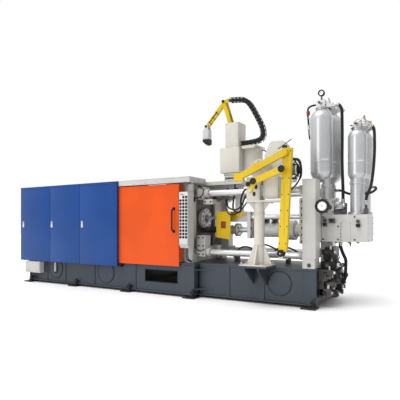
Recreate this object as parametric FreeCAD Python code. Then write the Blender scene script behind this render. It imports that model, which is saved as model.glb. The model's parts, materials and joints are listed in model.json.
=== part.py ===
import FreeCAD, Part
import math
import os

from FreeCAD import Vector

# Horizontal cold-chamber die casting machine, in millimetres.
# +X runs along the bed towards the shot unit, -Y is the operator side, +Z is up.
# The origin is at floor level on the centre line, midway between the four
# corner anchor bolts of the wide part of the bed.

# ---- driving dimensions: bed and feet
BED_LEFT = -2005.0
BED_STEP = 2040.0
BED_RIGHT = 3945.0
WIDE_HALF = 730.0
NARROW_HALF = 600.0
FOOT_HEIGHT = 42.0
BED_TOP = 555.0
BED_WALL = 30.0
BED_DECK = 40.0
WINDOW_X = (1030.0, 1710.0)
WINDOW_Z = (205.0, 419.0)
FOOT_X_WIDE = (-1965.0, -655.0, 655.0, 1965.0)
FOOT_X_SHOT = 3855.0
ANCHOR_Y_WIDE = 780.0
ANCHOR_Y_SHOT = 665.0
ANCHOR_HOLE_RADIUS = 13.0

# ---- driving dimensions: covers and safety door
COVER_X = (-2174.0, 490.0)
COVER_FRONT = -840.0
COVER_Z = (444.0, 1945.0)
COVER_SPLITS = (-1262.0, -442.0)
DOOR_SKIN = 24.0
DOOR_GAP = 3.5
FRAME_Y = (-811.0, -786.0)
SAFETY_X = (460.0, 1764.0)
SAFETY_Z = (498.0, 1842.0)
SAFETY_Y = (-780.0, -650.0)
SKIRT_BACK = -740.0
CANOPY_X = (494.0, 1980.0)
CANOPY_Z = (1857.0, 1949.0)
CANOPY_FRONT = -800.0
RAIL_Z = (1857.0, 1876.0)

# ---- driving dimensions: clamp
DIE_AXIS_Z = 1284.0
TIE_Y = 420.0
TIE_Z = (884.0, 1684.0)
TIE_RADIUS = 50.0
FIXED_X = (1480.0, 1820.0)
MOVING_X = (180.0, 500.0)
REAR_X = (-1700.0, -1420.0)
PLATEN_HALF = 600.0
PLATEN_TOP = 1840.0
RUNNING_GAP = 0.3

# ---- driving dimensions: shot unit
SHOT_Z = 1090.0
SHOT_ROD_RADIUS = 42.0
SLEEVE_RADIUS = 56.0
PLUNGER_RADIUS = 34.0
FRAME_ROD_RADIUS = 50.0
FRAME_ROD_Z = (725.0, 1690.0)
COLUMN_X = (3744.0, 3932.0)
COLUMN_Y = (-600.0, -370.0)
COLUMN_TOP = 1815.0
MANIFOLD_X = (3936.0, 4560.0)
MANIFOLD_Y = (-280.0, 200.0)
MANIFOLD_Z = (930.0, 1320.0)
TALL_BOTTLES = ((3905.0, -180.0), (3955.0, 185.0))
SHORT_BOTTLES = ((4395.0, -100.0), (4430.0, 190.0))
TALL_RADIUS = 163.0
TALL_Z = (1800.0, 2887.0)
SHORT_RADIUS = 131.0
SHORT_Z = (1788.0, 2556.0)

# ---- driving dimensions: ladler (pivot places in the XZ plane)
LADLER_POST = (3155.0, -750.0)
UPPER_ARM_Y = (-1000.0, -942.0)
LOWER_ARM_Y = (-1066.0, -1008.0)
FOREARM_Y = (-934.0, -866.0)
GEARBOX_FRONT = -850.0
LOWER_ROOT = (3194.0, 1778.0)
LOWER_TIP = (3604.0, 1922.0)
UPPER_TIP = (3615.0, 2151.0)
UPPER_TAIL = (2950.0, 1862.0)
LADLE_PIVOT = (3549.0, 780.0)
PIVOT_RADIUS = 20.0

# ---- driving dimensions: sprayer
SPRAY_Y = -130.0
SHOULDER = (2411.0, 2800.0)
ELBOW = (2268.0, 3243.0)
WRIST = (1927.0, 2869.0)
TABLE_Z = (1840.0, 1900.0)
LOWER_BOX_TOP = 2440.0
UPPER_BOX_TOP = 2850.0


# ---- shape helpers

def block(x, y, z):
    """A box between two limits on each axis, each given low and high."""
    return Part.makeBox(x[1] - x[0], y[1] - y[0], z[1] - z[0], Vector(x[0], y[0], z[0]))


def bar(axis, start, length, radius):
    """A round bar that starts at a point and runs along +X, +Y or +Z."""
    ways = {"x": Vector(1, 0, 0), "y": Vector(0, 1, 0), "z": Vector(0, 0, 1)}
    return Part.makeCylinder(radius, length, Vector(*start), ways[axis])


def ring(axis, start, length, outer, inner):
    """A round tube, with its hole cut right through."""
    return bar(axis, start, length, outer).cut(bar(axis, start, length, inner))


def plate_xz(points, y):
    """A flat plate with an outline in the XZ plane."""
    outline = [Vector(px, y[0], pz) for px, pz in points]
    face = Part.Face(Part.makePolygon(outline + outline[:1]))
    return face.extrude(Vector(0, y[1] - y[0], 0))


def plate_yz(points, x):
    """A flat plate with an outline in the YZ plane."""
    outline = [Vector(x[0], py, pz) for py, pz in points]
    face = Part.Face(Part.makePolygon(outline + outline[:1]))
    return face.extrude(Vector(x[1] - x[0], 0, 0))


def joined(shapes):
    """One solid from pieces that touch or overlap."""
    return shapes[0].fuse(shapes[1:]).removeSplitter()


def mirrored(shape):
    """The same piece on the other side of the centre line."""
    return shape.mirror(Vector(0, 0, 0), Vector(0, 1, 0))


def link(start, end, half_width, y):
    """A straight arm between two pivots in the XZ plane, with round ends."""
    dx = end[0] - start[0]
    dz = end[1] - start[1]
    length = math.hypot(dx, dz)
    side_x = -dz / length * half_width
    side_z = dx / length * half_width
    corners = [(start[0] + side_x, start[1] + side_z), (end[0] + side_x, end[1] + side_z),
               (end[0] - side_x, end[1] - side_z), (start[0] - side_x, start[1] - side_z)]
    deep = y[1] - y[0]
    ends = [bar("y", (px, y[0], pz), deep, half_width) for px, pz in (start, end)]
    return joined([plate_xz(corners, y)] + ends)


def route(points):
    """Straight runs joined by arcs as large as each pair of runs allows."""
    places = [Vector(*point) for point in points]
    edges = []
    last = places[0]
    radii = []
    for before, corner, after in zip(places, places[1:], places[2:]):
        come = (before - corner).normalize()
        leave = (after - corner).normalize()
        half_turn = (math.pi - come.getAngle(leave)) / 2
        setback = 0.45 * min((corner - before).Length, (after - corner).Length)
        radius = setback / math.tan(half_turn)
        radii.append(radius)
        first = corner + come * setback
        second = corner + leave * setback
        inward = (come + leave).normalize()
        middle = corner + inward * (radius / math.cos(half_turn) - radius)
        edges.append(Part.LineSegment(last, first).toShape())
        edges.append(Part.Arc(first, middle, second).toShape())
        last = second
    edges.append(Part.LineSegment(last, places[-1]).toShape())
    return Part.Wire(edges), radii


def hose(name, points, radius):
    """A round hose along a route, with its arc radii printed."""
    wire, radii = route(points)
    start = Vector(*points[0])
    heading = Vector(*points[1]) - start
    section = Part.Wire([Part.makeCircle(radius, start, heading)])
    tube = wire.makePipeShell([section], True, False)
    expected = math.pi * radius ** 2 * wire.Length
    print(name, "radii", [round(value) for value in radii],
          "volume ratio", round(tube.Volume / expected, 3))
    return tube


def save(node, *shapes):
    """Write one node as a STEP file."""
    whole = shapes[0] if len(shapes) == 1 else Part.makeCompound(list(shapes))
    whole.exportStep("parts/" + node + ".step")


# ---- bed

def bed_side_plates():
    top = BED_TOP - BED_DECK
    wide = block((BED_LEFT, BED_STEP), (-WIDE_HALF, -WIDE_HALF + BED_WALL), (FOOT_HEIGHT, top))
    wide = wide.cut(block(WINDOW_X, (-WIDE_HALF, -WIDE_HALF + BED_WALL), WINDOW_Z))
    narrow_y = (-NARROW_HALF, -NARROW_HALF + BED_WALL)
    narrow = block((BED_STEP, BED_RIGHT), narrow_y, (FOOT_HEIGHT, top))
    save("bed_side_plates", wide, mirrored(wide), narrow, mirrored(narrow))


def bed_top_plate():
    thick = (BED_TOP - BED_DECK, BED_TOP)
    wide = block((BED_LEFT, BED_STEP), (-WIDE_HALF, WIDE_HALF), thick)
    narrow = block((BED_STEP, BED_RIGHT), (-NARROW_HALF, NARROW_HALF), thick)
    drop = block((620.0, 1400.0), (-360.0, 360.0), thick)
    save("bed_top_plate", joined([wide, narrow]).cut(drop))


def bed_cross_plates():
    tall = (FOOT_HEIGHT, BED_TOP - BED_DECK)
    inside_wide = WIDE_HALF - BED_WALL
    inside_narrow = NARROW_HALF - BED_WALL
    plates = []
    for left in (BED_LEFT, -961.0, -178.0, 822.0, BED_STEP - BED_WALL):
        plates.append(block((left, left + BED_WALL), (-inside_wide, inside_wide), tall))
    for left in (3115.0, BED_RIGHT - BED_WALL):
        plates.append(block((left, left + BED_WALL), (-inside_narrow, inside_narrow), tall))
    save("bed_cross_plates", *plates)


def corner_gusset(z):
    """A flat gusset with a hollow curved edge, where the bed steps in."""
    thick = 20.0
    along = 260.0
    out = WIDE_HALF + 18.0 - NARROW_HALF
    radius = (along ** 2 + out ** 2) / (2 * out)
    centre = Vector(BED_STEP + along, -NARROW_HALF - radius, z)
    half_sweep = math.asin(along / radius) / 2
    corner = Vector(BED_STEP, -NARROW_HALF, z)
    outer = Vector(BED_STEP, -NARROW_HALF - out, z)
    far = Vector(BED_STEP + along, -NARROW_HALF, z)
    hollow = centre + Vector(-math.sin(half_sweep), math.cos(half_sweep), 0) * radius
    edges = [Part.LineSegment(corner, outer).toShape(), Part.Arc(outer, hollow, far).toShape(),
             Part.LineSegment(far, corner).toShape()]
    return Part.Face(Part.Wire(edges)).extrude(Vector(0, 0, thick))


def bed_ribs():
    flange = (FOOT_HEIGHT, FOOT_HEIGHT + 20.0)
    tall = (FOOT_HEIGHT, BED_TOP - BED_DECK)
    proud = 14.0
    lip = 28.0
    post_proud = 24.0
    pieces = [block((BED_LEFT, BED_STEP), (-WIDE_HALF - lip, -WIDE_HALF), flange)]
    for left in (BED_LEFT, -1475.0, -946.0, -163.0, 822.0):
        pieces.append(block((left, left + 16.0), (-WIDE_HALF - proud, -WIDE_HALF), tall))
    pieces.append(block((1810.0, BED_STEP), (-WIDE_HALF - post_proud, -WIDE_HALF), tall))
    pieces.append(block((BED_STEP, BED_RIGHT), (-NARROW_HALF - lip, -NARROW_HALF), flange))
    for left, right in ((2530.0, 2600.0), (3086.0, 3174.0), (3770.0, BED_RIGHT)):
        pieces.append(block((left, right), (-NARROW_HALF - proud, -NARROW_HALF), tall))
    pieces.append(corner_gusset(442.0))
    pieces.append(corner_gusset(134.0))
    cover = 8.0
    for x, radius in ((-1220.0, 190.0), (127.0, 195.0)):
        pieces.append(bar("y", (x, -WIDE_HALF - cover, 305.0), cover, radius))
    pieces.append(bar("y", (3410.0, -NARROW_HALF - cover, 320.0), cover, 175.0))
    side = joined(pieces)
    save("bed_ribs", side, mirrored(side))


def levelling_foot(x, edge, anchor):
    """A floor plate with an anchor hole, a pad under the bed and a jack bolt."""
    base_top = 20.0
    base = block((x - 105.0, x + 105.0), (-anchor - 52.0, -edge + 90.0), (0.0, base_top))
    pad = block((x - 80.0, x + 80.0), (-edge, -edge + 80.0), (base_top, FOOT_HEIGHT))
    jack = bar("z", (x + 60.0, -anchor + 2.0, base_top), 34.0, 16.0)
    hole = bar("z", (x, -anchor, 0.0), base_top, ANCHOR_HOLE_RADIUS)
    return joined([base, pad, jack]).cut(hole)


def levelling_feet():
    feet = [levelling_foot(x, WIDE_HALF, ANCHOR_Y_WIDE) for x in FOOT_X_WIDE]
    feet.append(levelling_foot(FOOT_X_SHOT, NARROW_HALF, ANCHOR_Y_SHOT))
    save("levelling_feet", *(feet + [mirrored(foot) for foot in feet]))


def electrical_box():
    body = block((-2007.0, -1560.0), (-850.0, -WIDE_HALF - 14.0), (205.0, 430.0))
    feet = [block((x, x + 40.0), (-WIDE_HALF - 14.0, -WIDE_HALF), (250.0, 380.0))
            for x in (-1960.0, -1660.0)]
    save("electrical_box", joined([body] + feet))


# ---- covers and guards

def cover_frame():
    """Front and rear frames of flat bars that carry the doors and panels."""
    rail = 40.0
    left, right = COVER_X
    pieces = [block(COVER_X, FRAME_Y, (COVER_Z[0], COVER_Z[0] + rail)),
              block(COVER_X, FRAME_Y, (COVER_Z[1] - rail, COVER_Z[1]))]
    for middle in (left + 18.0,) + COVER_SPLITS + (right - 18.0,):
        pieces.append(block((middle - 18.0, middle + 18.0), FRAME_Y, COVER_Z))
    for x in (-1900.0, -1080.0, -300.0, 340.0):
        pieces.append(block((x, x + 60.0), (FRAME_Y[1], -WIDE_HALF), (COVER_Z[0], COVER_Z[0] + 36.0)))
    front = joined(pieces)
    save("cover_frame", front, mirrored(front))


def cover_shell():
    """Roof and end panel over the toggle end."""
    sheet = 24.0
    inner = FRAME_Y[1]
    roof = block(COVER_X, (inner, -inner), (COVER_Z[1] - sheet, COVER_Z[1]))
    end_x = (COVER_X[0], COVER_X[0] + sheet)
    end = block(end_x, (inner, -inner), (COVER_Z[0], COVER_Z[1] - sheet))
    save("cover_shell", joined([roof, end]))


def cover_spans():
    """Left and right edges of the three doors in one face of the cover."""
    edges = (COVER_X[0],) + COVER_SPLITS + (COVER_X[1],)
    return [(low + DOOR_GAP, high - DOOR_GAP) for low, high in zip(edges, edges[1:])]


def cover_doors():
    """Three hinged front doors of folded sheet, each with a returned edge."""
    for number, (left, right) in enumerate(cover_spans(), start=1):
        skin = (COVER_FRONT, COVER_FRONT + DOOR_SKIN)
        save("cover_door_" + str(number), block((left, right), skin, COVER_Z))


def rear_covers():
    skin = (-COVER_FRONT - DOOR_SKIN - 4.0, -COVER_FRONT)
    save("rear_covers", *[block(span, skin, COVER_Z) for span in cover_spans()])


def guard_shell():
    """A boxed sliding guard: a thick panel with a thin skirt past the deck."""
    skirt_top = 572.0
    panel = block(SAFETY_X, SAFETY_Y, (skirt_top, SAFETY_Z[1]))
    skirt = block(SAFETY_X, (SAFETY_Y[0], SKIRT_BACK - 12.0), (SAFETY_Z[0], skirt_top))
    wall = 12.0
    inside = block((SAFETY_X[0] + wall, SAFETY_X[1] - wall), (SAFETY_Y[0] + wall, SAFETY_Y[1]),
                   (skirt_top + wall, SAFETY_Z[1] - wall))
    return joined([panel, skirt]).cut(inside)


def safety_door():
    save("safety_door", guard_shell())


def door_handle():
    """A round C handle on two standoffs."""
    x = 1669.0
    low, high = 1065.0, 1439.0
    front = SAFETY_Y[0]
    radius = 13.0
    reach = 62.0
    bend = 34.0
    wire_points = [(x, front, low), (x, front - reach + bend, low), (x, front - reach, low + bend),
                   (x, front - reach, high - bend), (x, front - reach + bend, high), (x, front, high)]
    grip = hose("door_handle", wire_points, radius)
    feet = [bar("y", (x, front - 8.0, z), 8.0, 22.0) for z in (low, high)]
    save("door_handle", joined([grip] + feet))


def roller_hangers():
    """Two hanger plates with wheels that run on top of the rail."""
    hangers = []
    for x in (720.0, 1540.0):
        plate = block((x - 45.0, x + 45.0), (-748.0, -738.0), (SAFETY_Z[1], 1913.0))
        wheel = bar("y", (x, -738.0, RAIL_Z[1] + 19.0), 36.0, 18.0)
        hangers.append(joined([plate, wheel]))
    return hangers


def door_rollers():
    save("door_rollers", *roller_hangers())


def door_rails():
    """The front rail, hung from the roof by small brackets, and its rear twin."""
    rail = block((-560.0, 1950.0), (-731.0, -696.0), RAIL_Z)
    pieces = [rail]
    for x in (-540.0, 60.0, 1000.0, 1920.0):
        pieces.append(block((x, x + 30.0), (-696.0, -684.0), (RAIL_Z[0], 1921.0)))
    front = joined(pieces)
    save("door_rails", front, mirrored(front), *guard_guides())


def guard_canopy():
    """Light beam over the door, a roof strip behind it and a closed right end."""
    skin = 28.0
    beam = block(CANOPY_X, (CANOPY_FRONT, CANOPY_FRONT + 45.0), CANOPY_Z)
    strip = block(CANOPY_X, (CANOPY_FRONT + 45.0, -280.0), (CANOPY_Z[1] - skin, CANOPY_Z[1]))
    end = block((CANOPY_X[1] - skin, CANOPY_X[1]), (CANOPY_FRONT + 45.0, -280.0),
                (CANOPY_Z[0], CANOPY_Z[1] - skin))
    foot = block((1500.0, 1800.0), (-PLATEN_HALF, -450.0), (PLATEN_TOP, CANOPY_Z[1] - skin))
    front = joined([beam, strip, end, foot])
    save("guard_canopy", front, mirrored(front))


def rear_guard():
    """The guard on the far side, a plain repeat of the sliding one."""
    save("rear_guard", joined([mirrored(piece) for piece in [guard_shell()] + roller_hangers()]))


def guard_guides():
    """Guide block under the sliding door, and seats under the rear guard."""
    front = block((492.0, 545.0), (-800.0, -WIDE_HALF), (432.0, 490.0))
    rear_seats = [block((x, x + 80.0), (WIDE_HALF, 792.0), (460.0, SAFETY_Z[0]))
                  for x in (540.0, 1640.0)]
    return [front] + rear_seats


def control_panel():
    """A tall button box with a slanted lower end, on two arms to the platen."""
    x = (1840.0, 2003.0)
    outline = [(-880.0, 862.0), (-880.0, 1696.0), (-705.0, 1696.0), (-705.0, 806.0), (-835.0, 806.0)]
    box = plate_yz(outline, x)
    arms = [block((1860.0, 1920.0), (-705.0, -640.0), (z, z + 70.0)) for z in (900.0, 1560.0)]
    stem = block((1850.0, 1940.0), (-640.0, -PLATEN_HALF), (BED_TOP, PLATEN_TOP))
    save("control_panel", joined([box, stem] + arms))


def panel_buttons():
    """Thirteen rows of round buttons, the top row one short."""
    pitch = 53.0
    top_row = 1612.0
    buttons = []
    for row in range(13):
        columns = (0, 1, 2) if row else (1, 2)
        for column in columns:
            x = 1868.0 + column * pitch
            z = top_row - row * pitch
            buttons.append(bar("y", (x, -894.0, z), 14.0, 15.0))
    save("panel_buttons", *buttons)


# ---- clamp

def tie_holes(x):
    """Four running holes for the tie bars through one platen."""
    length = x[1] - x[0]
    return [bar("x", (x[0], y, z), length, TIE_RADIUS + RUNNING_GAP)
            for y in (-TIE_Y, TIE_Y) for z in TIE_Z]


def fixed_platen():
    x = FIXED_X
    body = block(x, (-PLATEN_HALF, PLATEN_HALF), (BED_TOP, PLATEN_TOP))
    recess = block((x[1] - 45.0, x[1]), (-330.0, 330.0), (800.0, 1665.0))
    feet = [block((x[1], x[1] + 111.0), side, (BED_TOP, 700.0))
            for side in ((-PLATEN_HALF, -400.0), (400.0, PLATEN_HALF))]
    long = x[1] - x[0]
    centre_bore = bar("x", (x[0], 0.0, DIE_AXIS_Z), long, 75.0)
    sleeve_bore = bar("x", (x[0], 0.0, SHOT_Z), long, SLEEVE_RADIUS + RUNNING_GAP)
    solid = joined([body] + feet)
    for hole in [recess, centre_bore, sleeve_bore] + tie_holes(x):
        solid = solid.cut(hole)
    save("fixed_platen", solid)


def platen_ring():
    """White flange round the centre hole, notched where the sleeve passes."""
    start = FIXED_X[1] - 45.0
    flange = ring("x", (start, 0.0, DIE_AXIS_Z), 60.0, 175.0, 76.0)
    notch = bar("x", (start, 0.0, SHOT_Z), 60.0, SLEEVE_RADIUS + 4.0)
    save("platen_ring", flange.cut(notch))


def shot_sleeve():
    """Sleeve through the fixed platen, with a pouring slot near its open end."""
    start = FIXED_X[0] + 20.0
    end = 2045.0
    tube = ring("x", (start, 0.0, SHOT_Z), end - start, SLEEVE_RADIUS, PLUNGER_RADIUS + 0.05)
    slot = block((1900.0, 1990.0), (-32.0, 32.0), (SHOT_Z, SHOT_Z + 80.0))
    save("shot_sleeve", tube.cut(slot))


def moving_platen():
    x = MOVING_X
    body = block(x, (-560.0, 560.0), (620.0, 1800.0))
    seats = [block(x, side, (BED_TOP, 620.0)) for side in ((-540.0, -380.0), (380.0, 540.0))]
    solid = joined([body] + seats)
    for hole in tie_holes(x):
        solid = solid.cut(hole)
    save("moving_platen", solid)


def rear_platen():
    x = REAR_X
    body = block(x, (-560.0, 560.0), (620.0, 1800.0))
    seats = [block(x, side, (BED_TOP, 620.0)) for side in ((-540.0, -380.0), (380.0, 540.0))]
    solid = joined([body] + seats)
    for hole in tie_holes(x):
        solid = solid.cut(hole)
    save("rear_platen", solid)


def tie_bars():
    start = REAR_X[0] - 140.0
    end = FIXED_X[1] + 110.0
    save("tie_bars", *[bar("x", (start, y, z), end - start, TIE_RADIUS)
                       for y in (-TIE_Y, TIE_Y) for z in TIE_Z])


def tie_bar_nuts():
    nuts = []
    for y in (-TIE_Y, TIE_Y):
        for z in TIE_Z:
            nuts.append(ring("x", (REAR_X[0] - 120.0, y, z), 120.0, 105.0, TIE_RADIUS + RUNNING_GAP))
            nuts.append(ring("x", (FIXED_X[1], y, z), 130.0, 88.0, TIE_RADIUS + RUNNING_GAP))
    save("tie_bar_nuts", *nuts)


def toggle_mechanism():
    """Toggle links drawn closed, their crosshead, and the closing cylinder."""
    pieces = []
    knee_x = -560.0
    for side in (-1, 1):
        root = (REAR_X[1] + 75.0, DIE_AXIS_Z + side * 240.0)
        knee = (knee_x, DIE_AXIS_Z + side * 310.0)
        tip = (MOVING_X[0] - 75.0, DIE_AXIS_Z + side * 240.0)
        for y in ((-300.0, -180.0), (180.0, 300.0)):
            pieces.append(link(root, knee, 70.0, y))
            pieces.append(link(knee, tip, 70.0, y))
        for x, z in (root, knee, tip):
            pieces.append(bar("y", (x, -310.0, z), 620.0, 45.0))
        lug_z = root[1]
        pieces.append(block((REAR_X[1], root[0]), (-170.0, 170.0), (lug_z - 60.0, lug_z + 60.0)))
        pieces.append(block((tip[0], MOVING_X[0]), (-170.0, 170.0), (lug_z - 60.0, lug_z + 60.0)))
    crosshead = block((-820.0, -700.0), (-290.0, 290.0), (DIE_AXIS_Z - 350.0, DIE_AXIS_Z + 350.0))
    piston = bar("x", (REAR_X[1], 0.0, DIE_AXIS_Z), -820.0 - REAR_X[1], 45.0)
    barrel = bar("x", (-2080.0, 0.0, DIE_AXIS_Z), REAR_X[0] + 2080.0, 130.0)
    save("toggle_mechanism", joined(pieces + [crosshead, piston]), barrel)


# ---- shot unit

def rod_brackets():
    """Blocks that hold the shot frame's rods on the ends of the tie bars."""
    start = FIXED_X[1] + 130.0
    upper = block((start, start + 110.0), (-520.0, -330.0), (1590.0, 1800.0))
    lower = block((start, start + 150.0), (-510.0, -330.0), (655.0, 1000.0))
    cap = bar("x", (start + 110.0, -TIE_Y, FRAME_ROD_Z[1]), 60.0, 72.0)
    foot = bar("x", (start + 150.0, -TIE_Y, FRAME_ROD_Z[0]), 50.0, 68.0)
    hole_up = bar("x", (start, -TIE_Y, FRAME_ROD_Z[1]), 200.0, FRAME_ROD_RADIUS + RUNNING_GAP)
    hole_low = bar("x", (start, -TIE_Y, FRAME_ROD_Z[0]), 220.0, FRAME_ROD_RADIUS + RUNNING_GAP)
    top = joined([upper, cap]).cut(hole_up)
    bottom = joined([lower, foot]).cut(hole_low)
    save("rod_brackets", top, bottom, mirrored(top), mirrored(bottom))


def shot_frame_rods():
    start = FIXED_X[1] + 132.0
    rods = []
    for y in (-TIE_Y, TIE_Y):
        for z in FRAME_ROD_Z:
            rods.append(bar("x", (start, y, z), COLUMN_X[0] - start, FRAME_ROD_RADIUS))
    for y in (-190.0, 190.0):
        rods.append(bar("x", (2790.0, y, 1300.0), 3654.0 - 2790.0, 38.0))
    save("shot_frame_rods", *rods)


def end_columns():
    foot = block((COLUMN_X[0], COLUMN_X[1] - 12.0), (COLUMN_Y[0] + 4.0, COLUMN_Y[1]), (BED_TOP, 700.0))
    body = block(COLUMN_X, COLUMN_Y, (700.0, COLUMN_TOP))
    column = joined([foot, body])
    save("end_columns", column, mirrored(column))


def end_plate():
    """Thick plate between the columns; its front edge is a row of blocks."""
    x = (3654.0, COLUMN_X[0])
    pieces = [block(x, (-430.0, 430.0), (894.0, 1564.0))]
    pitch = 96.0
    for step in range(7):
        low = 896.0 + step * pitch
        pieces.append(block((x[0], x[1]), (-452.0, -430.0), (low, low + 74.0)))
        pieces.append(block((x[0], x[1]), (430.0, 452.0), (low, low + 74.0)))
    pieces.append(block(COLUMN_X, (COLUMN_Y[1], -COLUMN_Y[1]), (940.0, 1310.0)))
    save("end_plate", joined(pieces))


def shot_cylinder():
    """Barrel between a front plate and a bolted rear flange."""
    z = SHOT_Z
    front = bar("x", (2671.0, 0.0, z), 63.0, 117.0)
    plate = block((2734.0, 2790.0), (-250.0, 250.0), (955.0, 1385.0))
    barrel = bar("x", (2790.0, 0.0, z), 554.0, 114.0)
    flange = bar("x", (3344.0, 0.0, z), 114.0, 155.0)
    tail = bar("x", (3458.0, 0.0, z), 196.0, 100.0)
    body = joined([front, plate, barrel, flange, tail])
    rod_room = bar("x", (2671.0, 0.0, z), 560.0, SHOT_ROD_RADIUS + 0.05)
    save("shot_cylinder", body.cut(rod_room))


def shot_rod():
    """Plunger, coupling and piston rod, drawn back."""
    z = SHOT_Z
    plunger = bar("x", (1880.0, 0.0, z), 456.0, PLUNGER_RADIUS)
    bell = bar("x", (2336.0, 0.0, z), 90.0, 70.0)
    collar = bar("x", (2426.0, 0.0, z), 61.0, 107.0)
    piston_rod = bar("x", (2487.0, 0.0, z), 700.0, SHOT_ROD_RADIUS)
    save("shot_rod", joined([plunger, bell, collar, piston_rod]))


def centre_rod_unit():
    """Grey barrel on a hanger, with a yellow nose plate and a dark rod."""
    z = 1306.0
    barrel = block((2350.0, 2676.0), (-80.0, 80.0), (1226.0, 1392.0))
    hanger = block((2430.0, 2530.0), (-60.0, 60.0), (1392.0, TABLE_Z[0]))
    rod = bar("x", (1812.0, 0.0, DIE_AXIS_Z + 8.0), 2350.0 - 1812.0, 21.0)
    nose = bar("x", (2300.0, 0.0, z), 50.0, 62.0)
    save("centre_rod_unit", joined([barrel, hanger, rod, nose]))


def sleeve_guard():
    """Bent yellow sheet in front of the pouring end, on a tapered arm."""
    sheet = 8.0
    x = (2171.0, 2434.0)
    outline = [(x[0], 965.0), (x[1], 930.0), (x[1], 1395.0), (x[0], 1395.0)]
    front = plate_xz(outline, (-255.0, -255.0 + sheet))
    side = block((x[0], x[0] + sheet), (-247.0, -170.0), (985.0, 1395.0))
    top = block(x, (-247.0, -90.0), (1395.0 - sheet, 1395.0))
    arm = plate_xz([(2360.0, 1395.0), (2640.0, 1395.0), (2640.0, 1345.0), (2360.0, 1235.0)], (-90.0, -80.0))
    save("sleeve_guard", joined([front, side, top, arm]))


def manifold_block():
    """Large valve block on the end plate, with an inset bolted front cover."""
    body = block(MANIFOLD_X, MANIFOLD_Y, MANIFOLD_Z)
    chamfer = plate_yz([(200.0, 1320.0), (130.0, 1320.0), (200.0, 1250.0)], MANIFOLD_X)
    body = body.cut(chamfer)
    rim = block((4212.0, 4334.0), (-286.0, -280.0), (930.0, 1216.0))
    lugs = [block((4196.0, 4212.0), (-286.0, -280.0), (945.0 + 46.0 * step, 970.0 + 46.0 * step))
            for step in range(6)]
    seat = block((COLUMN_X[1], MANIFOLD_X[0]), (-200.0, 200.0), (960.0, 1290.0))
    gauge_seat = block((3936.0, 4100.0), (-250.0, -60.0), (1320.0, 1545.0))
    save("manifold_block", joined([body, rim, seat, gauge_seat] + lugs))


def manifold_valves():
    """Solenoids and plugs on the block's front and top."""
    front = MANIFOLD_Y[0]
    pieces = [block((3960.0, 4010.0), (front - 42.0, front), (1150.0, 1200.0)),
              bar("y", (3985.0, front - 30.0, 1238.0), 30.0, 18.0),
              block((4046.0, 4124.0), (front - 70.0, front), (1195.0, 1262.0)),
              block((4415.0, 4465.0), (front - 42.0, front), (1138.0, 1185.0)),
              bar("y", (4440.0, front - 34.0, 1222.0), 34.0, 17.0),
              block((4110.0, 4262.0), (-270.0, -190.0), (1320.0, 1392.0)),
              block((4120.0, 4240.0), (-120.0, -40.0), (1320.0, 1490.0)),
              joined([block((4500.0, 4560.0), (-240.0, -190.0), (1320.0, 1400.0)),
                      bar("z", (4530.0, -215.0, 1400.0), 50.0, 18.0)])]
    save("manifold_valves", *pieces)


def bottle(place, radius, z):
    """A pressure bottle: a barrel with two round domes."""
    x, y = place
    low, high = z
    slant = radius * math.sqrt(0.5)
    lower = Part.Arc(Vector(0, 0, low), Vector(slant, 0, low + radius - slant),
                     Vector(radius, 0, low + radius)).toShape()
    wall = Part.LineSegment(Vector(radius, 0, low + radius), Vector(radius, 0, high - radius)).toShape()
    upper = Part.Arc(Vector(radius, 0, high - radius), Vector(slant, 0, high - radius + slant),
                     Vector(0, 0, high)).toShape()
    axis = Part.LineSegment(Vector(0, 0, high), Vector(0, 0, low)).toShape()
    face = Part.Face(Part.Wire([lower, wall, upper, axis]))
    solid = face.revolve(Vector(0, 0, 0), Vector(0, 0, 1), 360)
    solid.translate(Vector(x, y, 0))
    return solid


def accumulators():
    """Two tall and two short bottles on their necks."""
    bottles = []
    for index, place in enumerate(TALL_BOTTLES):
        body = bottle(place, TALL_RADIUS, TALL_Z)
        neck_low = (1545.0, 1320.0)[index]
        neck = bar("z", (place[0] + (70.0 if index == 0 else 0.0), place[1], neck_low),
                   TALL_Z[0] + 60.0 - neck_low, 62.0)
        bottles.append(joined([body, neck]))
    for place in SHORT_BOTTLES:
        body = bottle(place, SHORT_RADIUS, SHORT_Z)
        neck = bar("z", (place[0], place[1], MANIFOLD_Z[1]), SHORT_Z[0] + 60.0 - MANIFOLD_Z[1], 98.0)
        bottles.append(joined([body, neck]))
    save("accumulators", *bottles)


def accumulator_heads():
    """Valve blocks on the bottle tops, with side valves."""
    heads = []
    kinds = ((TALL_BOTTLES, TALL_RADIUS, TALL_Z, 62.0, 100.0, 190.0),
             (SHORT_BOTTLES, SHORT_RADIUS, SHORT_Z, 55.0, 70.0, 150.0))
    for places, radius, z, half, height, reach in kinds:
        for place in places:
            x, y = place
            low = z[1] + 20.0
            collar = bar("z", (x, y, z[1] - 30.0), 50.0, 80.0).cut(bottle(place, radius, z))
            cube = block((x - half, x + half), (y - half + 7.0, y + half - 7.0), (low, low + height))
            branch = block((x + half, x + reach), (y - 24.0, y + 24.0), (low - 8.0, low + 42.0))
            heads.append(joined([collar, cube, branch]))
    save("accumulator_heads", *heads)


def gauges():
    """A large dial on the manifold and a small one on the front tall bottle."""
    big = bar("y", (4038.0, -665.0, 1428.0), 55.0, 94.0)
    stem = bar("y", (4038.0, -615.0, 1428.0), 350.0, 12.0)
    boss = bar("y", (4038.0, -270.0, 1428.0), 20.0, 30.0)
    x, y = TALL_BOTTLES[0]
    top = TALL_Z[1] + 120.0
    post = bar("z", (x, y, top), 80.0, 12.0)
    small = bar("y", (x, y - 22.0, top + 112.0), 44.0, 46.0)
    save("gauges", joined([big, stem, boss]), joined([post, small]))


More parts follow.
